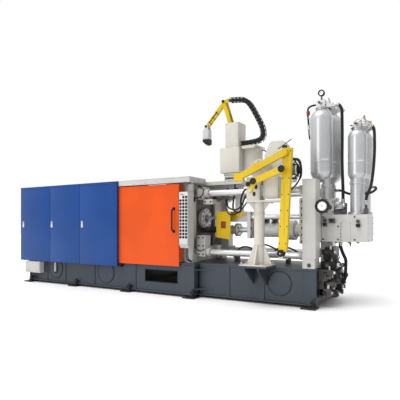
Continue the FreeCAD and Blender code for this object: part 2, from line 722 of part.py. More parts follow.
def bed_end_hydraulics():
    """Pump blocks, a grey tank box and valves on the right end of the bed."""
    end = BED_RIGHT
    tank = block((end, end + 120.0), (-150.0, 230.0), (BED_TOP + 20.0, 845.0))
    plate = block((end, end + 60.0), (-470.0, 470.0), (140.0, 540.0))
    pieces = [plate]
    for y, z, deep in ((-400.0, 430.0, 90.0), (-240.0, 300.0, 130.0), (-60.0, 420.0, 160.0),
                       (120.0, 250.0, 150.0), (290.0, 400.0, 190.0), (380.0, 210.0, 130.0)):
        pieces.append(block((end + 60.0, end + deep), (y - 55.0, y + 55.0), (z - 50.0, z + 50.0)))
        pieces.append(bar("x", (end + deep, y, z), 50.0, 32.0))
    saddle = block((end, end + 60.0), (-100.0, 180.0), (540.0, BED_TOP + 20.0))
    save("bed_end_hydraulics", joined(pieces + [saddle, tank]))


def hydraulic_hoses():
    """Pressure hoses between the manifold, the bottle heads and the bed end."""
    x, y = TALL_BOTTLES[0]
    tall = [(x + 190.0, y, 2920.0), (x + 250.0, y, 2920.0), (x + 290.0, y, 2850.0),
            (x + 296.0, y, 2500.0), (x + 292.0, y, 2100.0), (x + 300.0, y, 1840.0),
            (4200.0, -125.0, 1680.0), (4190.0, -80.0, 1590.0), (4190.0, -80.0, 1490.0)]
    x, y = SHORT_BOTTLES[0]
    short = [(x + 150.0, y, 2572.0), (x + 206.0, y, 2572.0), (x + 226.0, y, 2500.0),
             (x + 232.0, y - 4.0, 2250.0), (x + 218.0, y - 20.0, 1950.0), (x + 190.0, y - 60.0, 1700.0),
             (4530.0, -215.0, 1560.0), (4530.0, -215.0, 1450.0)]
    low = [(4150.0, -60.0, 930.0), (4150.0, -60.0, 850.0), (4180.0, -40.0, 750.0),
           (4215.0, 0.0, 660.0), (4200.0, 60.0, 560.0), (4185.0, 120.0, 470.0), (4185.0, 120.0, 380.0),
           (4145.0, 120.0, 300.0)]
    x, y = TALL_BOTTLES[1]
    link_line = [(x + 62.3, y, 1700.0), (x + 150.0, y, 1700.0), (4200.0, 120.0, 1650.0),
                 (4300.0, 45.0, 1620.0), (4430.0, 40.0, 1620.0), (4560.0, 60.0, 1640.0),
                 (4610.0, 130.0, 1690.0), (4600.0, 190.0, 1730.0), (4528.3, 190.0, 1730.0)]
    save("hydraulic_hoses", hose("tall bottle hose", tall, 22.0), hose("short bottle hose", short, 20.0),
         hose("manifold hose", low, 24.0), hose("bottle link hose", link_line, 18.0))


# ---- ladler

def ladler_bracket():
    """Base plate beyond the bed edge on two tapered ribs."""
    base = block((2910.0, 3345.0), (-960.0, -560.0), (BED_TOP, BED_TOP + 26.0))
    ribs = []
    for x in (2990.0, 3200.0):
        outline = [(-NARROW_HALF, 285.0), (-NARROW_HALF, BED_TOP), (-940.0, BED_TOP), (-940.0, 520.0)]
        ribs.append(plate_yz(outline, (x, x + 24.0)))
    save("ladler_bracket", joined([base] + ribs))


def ladler_post():
    """Round post with gussets, a top flange and small ribs under it."""
    x, y = LADLER_POST
    low = BED_TOP + 26.0
    high = 1500.0
    pieces = [bar("z", (x, y, low), high - low, 76.0)]
    spread = 188.0
    for side in (-1, 1):
        pieces.append(plate_xz([(x, low), (x + side * spread, low), (x + side * spread, low + 40.0),
                                (x + side * 88.0, low + 290.0), (x, low + 290.0)], (y - 9.0, y + 9.0)))
        pieces.append(plate_yz([(y, low), (y + side * spread, low), (y + side * spread, low + 40.0),
                                (y + side * 88.0, low + 290.0), (y, low + 290.0)], (x - 9.0, x + 9.0)))
        pieces.append(plate_xz([(x, high), (x + side * 170.0, high), (x + side * 80.0, high - 110.0),
                                (x, high - 110.0)], (y - 8.0, y + 8.0)))
    pieces.append(block((2981.0, 3521.0), (-850.0, -600.0), (high, high + 26.0)))
    save("ladler_post", joined(pieces))


def ladler_housings():
    """Gearbox, motor box, the round bearing housing and the tall slanted hood."""
    deck = 1526.0
    gearbox = block((2997.0, 3198.0), (GEARBOX_FRONT, -640.0), (deck, 1862.0))
    motor = block((3238.0, 3455.0), (-800.0, -620.0), (deck + 30.0, 1856.0))
    tie = block((3198.0, 3238.0), (-780.0, -640.0), (deck + 60.0, 1750.0))
    crown = bar("y", (3192.0, GEARBOX_FRONT, 2000.0), 190.0, 118.0)
    crown_seat = block((3090.0, 3290.0), (GEARBOX_FRONT, -660.0), (1862.0, 2000.0))
    hood = plate_xz([(3200.0, 1856.0), (3520.0, 1856.0), (3520.0, 2330.0), (3470.0, 2385.0),
                     (3290.0, 2385.0), (3200.0, 2190.0)], (-660.0, -470.0))
    shafts = []
    for (px, pz), arm_y in ((LOWER_ROOT, LOWER_ARM_Y), (upper_pivot(), UPPER_ARM_Y)):
        length = GEARBOX_FRONT + 20.0 - arm_y[0]
        shafts.append(bar("y", (px, arm_y[0], pz), length, PIVOT_RADIUS))
    save("ladler_housings", joined([gearbox, motor, tie, crown, crown_seat, hood] + swing_drive() + shafts))


def swing_drive():
    """Motor, brake box and terminal box on the hood's right side."""
    return [bar("x", (3520.0, -565.0, 1960.0), 150.0, 78.0),
            block((3520.0, 3585.0), (-650.0, -480.0), (2058.0, 2160.0)),
            block((3520.0, 3570.0), (-640.0, -500.0), (1780.0, 1862.0))]


def upper_pivot():
    """Fourth corner of the parallelogram that keeps the forearm upright."""
    return (LOWER_ROOT[0] + UPPER_TIP[0] - LOWER_TIP[0], LOWER_ROOT[1] + UPPER_TIP[1] - LOWER_TIP[1])


def pin_hole(place, y, gap):
    return bar("y", (place[0], y[0] - 10.0, place[1]), y[1] - y[0] + 20.0, PIVOT_RADIUS + gap)


def ladler_lower_arm():
    """Driven arm, with a crank plate at its root and a pin at its tip."""
    y = LOWER_ARM_Y
    arm = link(LOWER_ROOT, LOWER_TIP, 44.0, y)
    crank_tip = (LOWER_ROOT[0] - 58.0, LOWER_ROOT[1] - 122.0)
    knob_seat = (LOWER_ROOT[0] - 78.0, LOWER_ROOT[1] - 36.0)
    crank = link(LOWER_ROOT, crank_tip, 34.0, (y[0] + 20.0, y[1]))
    seat = link(LOWER_ROOT, knob_seat, 36.0, (y[0] + 12.0, y[1]))
    body = joined([arm, crank, seat]).cut(pin_hole(LOWER_ROOT, y, RUNNING_GAP))
    pin = bar("y", (LOWER_TIP[0], y[1], LOWER_TIP[1]), FOREARM_Y[1] - y[1], PIVOT_RADIUS)
    save("ladler_lower_arm", joined([body, pin]))


def ladler_upper_arm():
    """Guiding arm that runs past its pivot to a boxed tail."""
    y = UPPER_ARM_Y
    pivot = upper_pivot()
    arm = link(UPPER_TAIL, UPPER_TIP, 44.0, y)
    boss = bar("y", (pivot[0], y[0], pivot[1]), y[1] - y[0], 42.0)
    tail = block((2866.0, 3010.0), y, (1800.0, 1918.0))
    body = joined([arm, boss, tail]).cut(pin_hole(pivot, y, RUNNING_GAP))
    save("ladler_upper_arm", body.cut(pin_hole(UPPER_TIP, y, 5.0)))


def ladler_forearm():
    """Long upright beam with ears round its two pivots."""
    top = (3642.0, 2217.0)
    foot = (3570.0, 850.0)
    half = 61.0
    beam = plate_xz([(top[0] - half, top[1] + 6.0), (top[0] + half, top[1]),
                     (foot[0] + half, foot[1]), (foot[0] - half, foot[1])], FOREARM_Y)
    ears = [bar("y", (px, FOREARM_Y[0], pz), FOREARM_Y[1] - FOREARM_Y[0], 46.0)
            for px, pz in (LOWER_TIP, UPPER_TIP)]
    pin = bar("y", (UPPER_TIP[0], UPPER_ARM_Y[0], UPPER_TIP[1]), FOREARM_Y[0] - UPPER_ARM_Y[0],
              PIVOT_RADIUS)
    jaw = plate_xz([(3512.0, 850.0), (3628.0, 850.0), (3612.0, 806.0), (3590.0, 806.0),
                    (3580.0, 830.0), (3512.0, 830.0)], FOREARM_Y)
    body = joined([beam, jaw, pin] + ears)
    save("ladler_forearm", body.cut(pin_hole(LOWER_TIP, FOREARM_Y, RUNNING_GAP)))


def tilt_drive():
    """Black drive under the forearm that tips the ladle."""
    px, pz = LADLE_PIVOT
    deep = FOREARM_Y[1] - FOREARM_Y[0]
    case = bar("y", (px, FOREARM_Y[0], pz), deep, 44.0)
    neck = block((px - 36.0, px + 24.0), FOREARM_Y, (pz, 830.0))
    shaft = bar("y", (px, FOREARM_Y[0] - 26.0, pz), 26.0, 14.0)
    save("tilt_drive", joined([case, neck, shaft]))


def ladle_bracket():
    """Hub and strip with the flat shelf that the ladle bolts to."""
    px, pz = LADLE_PIVOT
    front = (FOREARM_Y[0] - 22.0, FOREARM_Y[0] - 8.0)
    hub = bar("y", (px, front[0], pz), front[1] - front[0], 30.0)
    strip = plate_xz([(px - 26.0, pz), (px + 26.0, pz), (px + 40.0, pz - 80.0), (px - 26.0, pz - 80.0)], front)
    shelf = block((px - 28.0, px + 74.0), (front[0], FOREARM_Y[1]), (pz - 80.0, pz - 68.0))
    hole = bar("y", (px, front[0], pz), 14.0, 14.0 + RUNNING_GAP)
    bolt_holes = [bar("z", (px + offset, -900.0, pz - 80.0), 12.0, 5.5) for offset in (-8.0, 52.0)]
    solid = joined([hub, strip, shelf]).cut(hole)
    for bolt_hole in bolt_holes:
        solid = solid.cut(bolt_hole)
    save("ladle_bracket", solid)


# ---- sprayer

def sprayer_table():
    """Heavy arm from the platen top that carries the sprayer."""
    slab = block((1500.0, 2660.0), (-260.0, 260.0), TABLE_Z)
    web = block((FIXED_X[1], 2400.0), (-40.0, 40.0), (1700.0, TABLE_Z[0]))
    hanger_room = block((2425.0, 2535.0), (-65.0, 65.0), (1690.0, TABLE_Z[0]))
    turntable = bar("z", (2430.0, -100.0, TABLE_Z[1]), 130.0, 150.0)
    save("sprayer_table", joined([slab, web, turntable]).cut(hanger_room))


def sprayer_boxes():
    """Lower and upper sheet boxes; the upper one is open on top for the arm."""
    lower = block((2257.0, 2605.0), (-280.0, 10.0), (2030.0, LOWER_BOX_TOP))
    upper = block((2353.0, 2588.0), (-276.0, 6.0), (LOWER_BOX_TOP, UPPER_BOX_TOP))
    wall = 14.0
    room = block((2353.0 + wall, 2588.0 - wall), (-276.0 + wall, 6.0 - wall), (2640.0, UPPER_BOX_TOP))
    posts = []
    for y in ((-262.0, -205.0), (-55.0, -8.0)):
        posts.append(block((SHOULDER[0] - 30.0, SHOULDER[0] + 30.0), y, (2640.0, 2835.0)))
    pin = bar("y", (SHOULDER[0], -262.0, SHOULDER[1]), 254.0, 18.0)
    slot = block((2353.0, 2353.0 + wall), (-215.0, -45.0), (2740.0, UPPER_BOX_TOP))
    shell = joined([lower, upper]).cut(room).cut(slot)
    save("sprayer_boxes", joined([shell, pin] + posts))


def sprayer_housing():
    """Rear drive housing with the shelf that carries the cable chain."""
    body = block((2605.0, 2720.0), (-110.0, 190.0), (2020.0, 2440.0))
    clear = block((2500.0, 2605.0), (-200.0, 200.0), (2020.0, 2440.0))
    drum = bar("z", (2720.0, 40.0, 2020.0), 420.0, 150.0).cut(clear)
    shelf = block((2595.0, 2870.0), (-215.0, 160.0), (2440.0, 2462.0))
    save("sprayer_housing", joined([body, drum, shelf]))


def chain_route():
    """Centre line of the cable chain, from the shelf round to the elbow."""
    y = -165.0
    return [(2600.0, y, 2508.0), (2905.0, y, 2508.0), (3010.0, y, 2590.0),
            (2990.0, y, 2740.0), (2890.0, y, 2940.0), (2790.0, y, 3130.0), (2690.0, y, 3235.0),
            (2560.0, y, 3268.0), (2395.0, y, 3262.0)]


def cable_chain():
    """Closed body of the cable chain, a flat band in one upright plane."""
    wire, radii = route(chain_route())
    print("cable_chain radii", [round(value) for value in radii])
    start = Vector(*chain_route()[0])
    corners = [start + Vector(0, dy, dz) for dy, dz in ((-40, -42), (40, -42), (40, 42), (-40, 42))]
    section = Part.makePolygon(corners + corners[:1])
    save("cable_chain", wire.makePipeShell([section], True, False))


def spray_lower_arm():
    """Pair of rails from the shoulder to the elbow, with the chain's bracket."""
    pieces = []
    for y in ((-192.0, -166.0), (-94.0, -68.0)):
        pieces.append(link(SHOULDER, ELBOW, 30.0, y))
    for place in (0.3, 0.62):
        px = SHOULDER[0] + (ELBOW[0] - SHOULDER[0]) * place
        pz = SHOULDER[1] + (ELBOW[1] - SHOULDER[1]) * place
        pieces.append(bar("y", (px, -170.0, pz), 80.0, 16.0))
    pieces.append(bar("y", (ELBOW[0], -200.0, ELBOW[1]), 140.0, PIVOT_RADIUS))
    bracket = plate_xz([(ELBOW[0] - 20.0, 3262.0), (ELBOW[0] + 112.0, 3275.0), (ELBOW[0] + 112.0, 3225.0),
                        (ELBOW[0] + 10.0, 3205.0)], (-196.0, -166.0))
    body = joined(pieces + [bracket])
    hole = bar("y", (SHOULDER[0], -210.0, SHOULDER[1]), 160.0, 18.0 + RUNNING_GAP)
    save("spray_lower_arm", body.cut(hole))


def spray_upper_arm():
    """Single tube from the elbow to the wrist, between the lower arm's rails."""
    y = (-159.0, -101.0)
    arm = link(ELBOW, WRIST, 31.0, y)
    hole = bar("y", (ELBOW[0], y[0], ELBOW[1]), y[1] - y[0], PIVOT_RADIUS + RUNNING_GAP)
    wrist_hole = bar("y", (WRIST[0], y[0], WRIST[1]), y[1] - y[0], 14.0 + RUNNING_GAP)
    save("spray_upper_arm", arm.cut(hole).cut(wrist_hole))


def spray_head():
    """Upright head with a fork round the wrist and a nozzle block below."""
    x, z = WRIST
    low, high = 2650.0, 2832.0
    case = block((x - 62.0, x + 50.0), (-182.0, -78.0), (low, high - 20.0))
    cheeks = [block((x - 34.0, x + 34.0), y, (high - 20.0, z + 30.0)) for y in ((-182.0, -165.0), (-95.0, -78.0))]
    pin = bar("y", (x, -182.0, z), 104.0, 14.0)
    save("spray_head", joined([case, pin] + cheeks))


def spray_nozzles():
    x = WRIST[0]
    outline = [(x - 66.0, 2650.0), (x + 54.0, 2650.0), (x + 54.0, 2560.0), (x - 10.0, 2560.0),
               (x - 66.0, 2612.0)]
    save("spray_nozzles", plate_xz(outline, (-186.0, -74.0)))


def machine_cables():
    """Short control cables clipped to the platen, sprayer and ladler."""
    upper = [(2006.0, -560.0, 1800.0), (2080.0, -590.0, 1800.0), (2130.0, -610.0, 1740.0),
             (2120.0, -610.0, 1660.0), (2040.0, -600.0, 1610.0), (1942.0, -600.0, 1590.0)]
    sprayer = [(2870.3, 40.0, 2400.0), (2920.0, 40.0, 2400.0), (2965.0, 40.0, 2350.0),
               (2960.0, 40.0, 2280.0), (2920.0, 40.0, 2230.0), (2870.3, 40.0, 2230.0)]
    ladler = [(2997.0, -760.0, 1700.0), (2930.0, -760.0, 1700.0), (2880.0, -755.0, 1620.0),
              (2850.0, -740.0, 1530.0), (2840.0, -700.0, 1430.0), (2800.0, -640.0, 1370.0),
              (2700.0, -560.0, 1360.0), (2600.0, -470.0, 1400.0), (2540.0, -380.0, 1480.0),
              (2515.0, -290.0, 1600.0), (2510.0, -240.0, 1730.0), (2510.0, -240.0, 1840.0)]
    save("machine_cables", hose("platen cable", upper, 9.0), hose("sprayer cable", sprayer, 9.0),
         hose("ladler cable", ladler, 14.0))


def main():
    os.makedirs("parts", exist_ok=True)
    for build in (bed_side_plates, bed_top_plate, bed_cross_plates, bed_ribs, levelling_feet,
                  electrical_box, cover_frame, cover_shell, cover_doors, rear_covers, safety_door,
                  door_handle, door_rollers, door_rails, guard_canopy, rear_guard,
                  control_panel, panel_buttons, fixed_platen, platen_ring, shot_sleeve,
                  moving_platen, rear_platen, tie_bars, tie_bar_nuts, toggle_mechanism,
                  rod_brackets, shot_frame_rods, end_columns, end_plate, shot_cylinder, shot_rod,
                  centre_rod_unit, sleeve_guard, manifold_block, manifold_valves, accumulators,
                  accumulator_heads, gauges, bed_end_hydraulics, hydraulic_hoses, ladler_bracket,
                  ladler_post, ladler_housings, ladler_lower_arm, ladler_upper_arm,
                  ladler_forearm, tilt_drive, ladle_bracket, sprayer_table, sprayer_boxes,
                  sprayer_housing, cable_chain, spray_lower_arm, spray_upper_arm, spray_head,
                  spray_nozzles, machine_cables):
        build()


main()
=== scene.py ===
import itertools
import json
import math

import bmesh
import bpy
from mathutils import Matrix, Vector


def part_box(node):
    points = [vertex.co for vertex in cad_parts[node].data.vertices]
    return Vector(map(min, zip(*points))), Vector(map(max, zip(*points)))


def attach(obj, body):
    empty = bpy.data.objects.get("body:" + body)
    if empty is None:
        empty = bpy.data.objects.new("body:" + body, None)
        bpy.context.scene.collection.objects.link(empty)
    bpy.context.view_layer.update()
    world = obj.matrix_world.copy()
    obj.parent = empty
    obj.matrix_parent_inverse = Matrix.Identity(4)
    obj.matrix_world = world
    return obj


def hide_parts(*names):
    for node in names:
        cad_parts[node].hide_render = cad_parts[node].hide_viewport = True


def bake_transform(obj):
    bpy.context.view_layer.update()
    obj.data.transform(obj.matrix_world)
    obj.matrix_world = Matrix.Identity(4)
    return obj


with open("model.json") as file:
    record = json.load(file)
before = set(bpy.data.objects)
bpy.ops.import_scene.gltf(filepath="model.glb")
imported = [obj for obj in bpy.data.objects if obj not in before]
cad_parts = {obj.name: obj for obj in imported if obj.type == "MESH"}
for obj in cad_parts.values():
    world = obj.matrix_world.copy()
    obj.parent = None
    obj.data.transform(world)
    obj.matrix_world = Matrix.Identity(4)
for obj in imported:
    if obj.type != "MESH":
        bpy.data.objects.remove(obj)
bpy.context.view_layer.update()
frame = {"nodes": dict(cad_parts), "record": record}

# Horizontal cold-chamber die casting machine, in metres.
# +X runs towards the shot unit, -Y is the operator side, +Z is up.

# ---- driving dimensions shared with the machine's frame
FLOOR_Z = 0.0
BED_TOP = 0.555
WIDE_INSIDE = 0.705
NARROW_INSIDE = 0.580
WIDE_FACE = 0.730
NARROW_FACE = 0.600
COVER_FACE = 0.840
COVER_HEADER = 1.900
BED_SEAMS = (-1.475, -0.946, -0.163, 0.822)
BUTTON_PITCH = 0.053
SHOT_ROD_RADIUS = 0.050
SHOT_AXIS_Z = 1.090
DIE_AXIS_Z = 1.284
TIE_Y = 0.420
LOWER_ROOT = (3.194, 1.778)
LOWER_TIP = (3.604, 1.922)
UPPER_TIP = (3.615, 2.151)
UPPER_ROOT = (3.205, 2.007)
ELBOW = (2.268, 3.243)
SHOULDER = (2.411, 2.800)
WRIST = (1.927, 2.869)
TALL_BOTTLES = ((3.905, -0.180), (3.955, 0.185))
SHORT_BOTTLES = ((4.395, -0.100), (4.430, 0.190))
TALL_RADIUS = 0.163
SHORT_RADIUS = 0.131
TALL_TOP = 2.887
SHORT_TOP = 2.556
TILT_AXIS = (3.549, 0.780)
SWING_DRIVE = (3.192, 2.000)
SPRAYER_AXIS = (2.430, -0.100)
CHAIN_Y = -0.165

TURNS = {
    "x": Matrix.Rotation(math.radians(90), 4, "Y"),
    "-x": Matrix.Rotation(math.radians(-90), 4, "Y"),
    "y": Matrix.Rotation(math.radians(-90), 4, "X"),
    "-y": Matrix.Rotation(math.radians(90), 4, "X"),
    "z": Matrix.Identity(4),
    "-z": Matrix.Rotation(math.radians(180), 4, "X"),
}
OUTWARD = {-1: "-y", 1: "y"}   # operator side and far side


def facing(place, axis):
    """Puts a part's own +Z on an axis of the machine, with its origin at a place."""
    return Matrix.Translation(place) @ TURNS[axis]


# ---- shader groups

def new_group(name, inputs, outputs):
    group = bpy.data.node_groups.new(name, "ShaderNodeTree")
    for label, value in inputs.items():
        socket = group.interface.new_socket(label, in_out="INPUT", socket_type="NodeSocketFloat")
        socket.default_value = value
    for label, kind in outputs.items():
        group.interface.new_socket(label, in_out="OUTPUT", socket_type=kind)
    return group, group.nodes.new("NodeGroupInput"), group.nodes.new("NodeGroupOutput")


def plug(tree, socket, value):
    """Links a socket to another one, or sets its own value."""
    if isinstance(value, bpy.types.NodeSocket):
        tree.links.new(value, socket)
    else:
        socket.default_value = value


def feed(tree, node, **sources):
    """Sets or links several inputs of a node by name, with _ for a space."""
    for label, source in sources.items():
        plug(tree, node.inputs[label.replace("_", " ")], source)


def sum_node(tree, operation, first, second=0.0):
    made = tree.nodes.new("ShaderNodeMath")
    made.operation = operation
    plug(tree, made.inputs[0], first)
    plug(tree, made.inputs[1], second)
    return made.outputs[0]


def spread(tree, value, low, high, out_low=0.0, out_high=1.0):
    """Stretches a range of values to a new range, and holds it at both ends."""
    made = tree.nodes.new("ShaderNodeMapRange")
    made.interpolation_type = "SMOOTHSTEP"
    feed(tree, made, Value=value, From_Min=low, From_Max=high, To_Min=out_low, To_Max=out_high)
    return made.outputs["Result"]


def blend_colour(tree, factor, first, second):
    """Mixes two colours, each a socket or three numbers."""
    made = tree.nodes.new("ShaderNodeMix")
    made.data_type = "RGBA"
    plug(tree, made.inputs[0], factor)
    for socket, colour in ((made.inputs[6], first), (made.inputs[7], second)):
        plug(tree, socket, (*colour, 1.0) if isinstance(colour, tuple) else colour)
    return made.outputs[2]


def object_place(tree, stretch=(1.0, 1.0, 1.0)):
    """The point on the piece, in metres, with the pattern stretched along each axis."""
    coordinates = tree.nodes.new("ShaderNodeTexCoord")
    mapping = tree.nodes.new("ShaderNodeMapping")
    mapping.inputs["Scale"].default_value = stretch
    tree.links.new(coordinates.outputs["Object"], mapping.inputs["Vector"])
    return mapping.outputs["Vector"]


def noise(tree, place, scale, detail=3.0, roughness=0.55):
    made = tree.nodes.new("ShaderNodeTexNoise")
    feed(tree, made, Vector=place, Scale=scale, Detail=detail, Roughness=roughness)
    return made.outputs["Fac"]


def soft_edge_group():
    """Rounded-edge normals, and a broken mask where the coat has worn off an edge."""
    group, entry, leave = new_group(
        "soft_edge", {"Radius": 0.004, "Patch Scale": 14.0},
        {"Normal": "NodeSocketVector", "Worn": "NodeSocketFloat"})
    rounded = group.nodes.new("ShaderNodeBevel")
    rounded.samples = 4
    group.links.new(entry.outputs["Radius"], rounded.inputs["Radius"])
    flat = group.nodes.new("ShaderNodeNewGeometry")
    dot = group.nodes.new("ShaderNodeVectorMath")
    dot.operation = "DOT_PRODUCT"
    group.links.new(rounded.outputs["Normal"], dot.inputs[0])
    group.links.new(flat.outputs["Normal"], dot.inputs[1])
    turned = sum_node(group, "SUBTRACT", 1.0, dot.outputs["Value"])
    edge = spread(group, turned, 0.01, 0.12)
    patch = noise(group, object_place(group), entry.outputs["Patch Scale"], 5.0, 0.65)
    worn = sum_node(group, "MULTIPLY", edge, spread(group, patch, 0.48, 0.66))
    feed(group, leave, Normal=rounded.outputs["Normal"], Worn=worn)
    return group


def coat_group():
    """Sprayed paint: a fine orange peel for height, and slow changes of shade."""
    group, entry, leave = new_group(
        "sprayed_coat", {"Peel Scale": 260.0, "Shade Scale": 1.3},
        {"Height": "NodeSocketFloat", "Shade": "NodeSocketFloat", "Gloss": "NodeSocketFloat"})
    place = object_place(group)
    peel = noise(group, place, entry.outputs["Peel Scale"], 2.0)
    waves = noise(group, place, 9.0, 2.0)
    height = sum_node(group, "ADD", peel, sum_node(group, "MULTIPLY", waves, 1.4))
    shade = noise(group, place, entry.outputs["Shade Scale"], 4.0)
    wiped = noise(group, object_place(group, (1.0, 1.0, 1.6)), 2.2, 3.0, 0.5)
    feed(group, leave, Height=height, Shade=shade, Gloss=wiped)
    return group


def dust_group():
    """Dust that settles on upward faces, and faint runs down upright ones."""
    group, entry, leave = new_group(
        "shop_dust", {"Settled": 0.5, "Runs": 0.3}, {"Dust": "NodeSocketFloat", "Oil": "NodeSocketFloat"})
    geometry = group.nodes.new("ShaderNodeNewGeometry")
    split = group.nodes.new("ShaderNodeSeparateXYZ")
    group.links.new(geometry.outputs["Normal"], split.inputs[0])
    upward = spread(group, split.outputs["Z"], 0.35, 0.95)
    place = object_place(group)
    patches = spread(group, noise(group, place, 2.6, 5.0, 0.6), 0.40, 0.72)
    settled = sum_node(group, "MULTIPLY", sum_node(group, "MULTIPLY", upward, patches),
                       entry.outputs["Settled"])
    streaks = noise(group, object_place(group, (7.0, 7.0, 0.5)), 2.2, 6.0, 0.6)
    upright = sum_node(group, "SUBTRACT", 1.0, upward)
    runs = sum_node(group, "MULTIPLY", spread(group, streaks, 0.55, 0.80), upright)
    feed(group, leave, Dust=settled, Oil=sum_node(group, "MULTIPLY", runs, entry.outputs["Runs"]))
    return group


def tool_mark_group():
    """Turning and grinding marks: fine lines round or along a piece, with smears."""
    group, entry, leave = new_group(
        "tool_marks", {"Line Scale": 420.0},
        {"Height": "NodeSocketFloat", "Smear": "NodeSocketFloat"})
    fine = noise(group, object_place(group, (1.0, 0.04, 0.04)), entry.outputs["Line Scale"], 2.0)
    smear = noise(group, object_place(group, (1.0, 2.0, 2.0)), 4.0, 5.0, 0.6)
    feed(group, leave, Height=fine, Smear=smear)
    return group


def cast_skin_group():
    """The rough skin of a sand casting, with pits and dark oil in its hollows."""
    group, entry, leave = new_group(
        "cast_skin", {"Grain Scale": 140.0}, {"Height": "NodeSocketFloat", "Pits": "NodeSocketFloat"})
    place = object_place(group)
    grain = noise(group, place, entry.outputs["Grain Scale"], 6.0, 0.7)
    cells = group.nodes.new("ShaderNodeTexVoronoi")
    feed(group, cells, Scale=95.0, Vector=place)
    pits = spread(group, cells.outputs["Distance"], 0.05, 0.45)
    oiled = spread(group, noise(group, place, 11.0, 5.0), 0.35, 0.7)
    feed(group, leave, Height=sum_node(group, "MULTIPLY", grain, pits), Pits=oiled)
    return group


SOFT_EDGE = soft_edge_group()
SPRAYED_COAT = coat_group()
SHOP_DUST = dust_group()
TOOL_MARKS = tool_mark_group()
CAST_SKIN = cast_skin_group()


# ---- materials

def start_material(name):
    material = bpy.data.materials.new(name)
    material.use_nodes = True
    tree = material.node_tree
    return material, tree, tree.nodes["Principled BSDF"]


def use_group(tree, group, **values):
    made = tree.nodes.new("ShaderNodeGroup")
    made.node_tree = group
    feed(tree, made, **values)
    return made.outputs


def raised(tree, shader, height, strength, depth, normal):
    """Feeds a height pattern over the rounded-edge normals into a shader."""
    bump = tree.nodes.new("ShaderNodeBump")
    feed(tree, bump, Strength=strength, Distance=depth, Height=height, Normal=normal)
    feed(tree, shader, Normal=bump.outputs["Normal"])


def toned(colour, factor):
    return tuple(min(1.0, part * factor) for part in colour)


def painted(name, colour, gloss=0.38, coat=0.0, dust=0.35, oil=0.25, chips=0.5, radius=0.004,
            flake=0.0):
    """Shop enamel over primer: peel, slow shade changes, worn edges, dust and runs."""
    material, tree, shader = start_material(name)
    edge = use_group(tree, SOFT_EDGE, Radius=radius)
    skin = use_group(tree, SPRAYED_COAT)
    dirt = use_group(tree, SHOP_DUST, Settled=dust, Runs=oil)
    shade = spread(tree, skin["Shade"], 0.3, 0.7)
    base = blend_colour(tree, shade, toned(colour, 0.92), toned(colour, 1.06))
    base = blend_colour(tree, dirt["Oil"], base, toned(colour, 0.55))
    base = blend_colour(tree, dirt["Dust"], base, (0.26, 0.25, 0.23))
    chipped = sum_node(tree, "MULTIPLY", edge["Worn"], chips)
    base = blend_colour(tree, chipped, base, (0.20, 0.19, 0.18))
    rough = spread(tree, skin["Gloss"], 0.15, 0.85, gloss - 0.03, gloss + 0.07)
    rough = sum_node(tree, "ADD", rough, sum_node(tree, "MULTIPLY", dirt["Dust"], 0.4))
    feed(tree, shader, Base_Color=base, Roughness=rough, Metallic=flake, Coat_Weight=coat,
         Coat_Roughness=0.12, Specular_IOR_Level=0.28)
    raised(tree, shader, skin["Height"], 0.22, 0.0006, edge["Normal"])
    return material


def bare_metal(name, colour, gloss=0.28, smear=0.15, radius=0.002, oil=0.2):
    """Turned, ground or plated metal with tool marks and smears of oil."""
    material, tree, shader = start_material(name)
    edge = use_group(tree, SOFT_EDGE, Radius=radius)
    marks = use_group(tree, TOOL_MARKS)
    dirt = use_group(tree, SHOP_DUST, Settled=0.2, Runs=oil)
    smeared = spread(tree, marks["Smear"], 0.3, 0.7)
    base = blend_colour(tree, smeared, toned(colour, 0.84), toned(colour, 1.08))
    base = blend_colour(tree, dirt["Oil"], base, (0.10, 0.085, 0.06))
    rough = spread(tree, marks["Smear"], 0.3, 0.7, gloss - 0.05, gloss + smear)
    metal = spread(tree, dirt["Oil"], 0.0, 0.6, 1.0, 0.75)
    feed(tree, shader, Base_Color=base, Roughness=rough, Metallic=metal)
    raised(tree, shader, marks["Height"], 0.12, 0.0003, edge["Normal"])
    return material


def cast_iron(name, colour, gloss=0.55, metal=0.6):
    """Oily iron with a sand-cast skin."""
    material, tree, shader = start_material(name)
    edge = use_group(tree, SOFT_EDGE, Radius=0.003)
    skin = use_group(tree, CAST_SKIN)
    base = blend_colour(tree, skin["Pits"], toned(colour, 0.6), toned(colour, 1.3))
    bright = sum_node(tree, "MULTIPLY", edge["Worn"], 0.6)
    base = blend_colour(tree, bright, base, (0.32, 0.31, 0.30))
    rough = spread(tree, skin["Pits"], 0.0, 1.0, gloss - 0.14, gloss + 0.12)
    metallic = spread(tree, skin["Pits"], 0.0, 1.0, metal, metal - 0.25)
    feed(tree, shader, Base_Color=base, Roughness=rough, Metallic=metallic)
    raised(tree, shader, skin["Height"], 0.5, 0.0012, edge["Normal"])
    return material


def moulded(name, colour, gloss=0.5, grain=500.0, radius=0.002):
    """Moulded plastic or rubber with a fine grain and a little dust."""
    material, tree, shader = start_material(name)
    edge = use_group(tree, SOFT_EDGE, Radius=radius)
    skin = use_group(tree, SPRAYED_COAT, Peel_Scale=grain, Shade_Scale=6.0)
    dirt = use_group(tree, SHOP_DUST, Settled=0.3, Runs=0.0)
    shade = spread(tree, skin["Shade"], 0.3, 0.7)
    base = blend_colour(tree, shade, toned(colour, 0.75), toned(colour, 1.25))
    base = blend_colour(tree, dirt["Dust"], base, (0.10, 0.096, 0.09))
    rough = spread(tree, skin["Gloss"], 0.25, 0.75, gloss - 0.08, gloss + 0.12)
    feed(tree, shader, Base_Color=base, Roughness=rough, Specular_IOR_Level=0.3)
    raised(tree, shader, skin["Height"], 0.3, 0.0004, edge["Normal"])
    return material


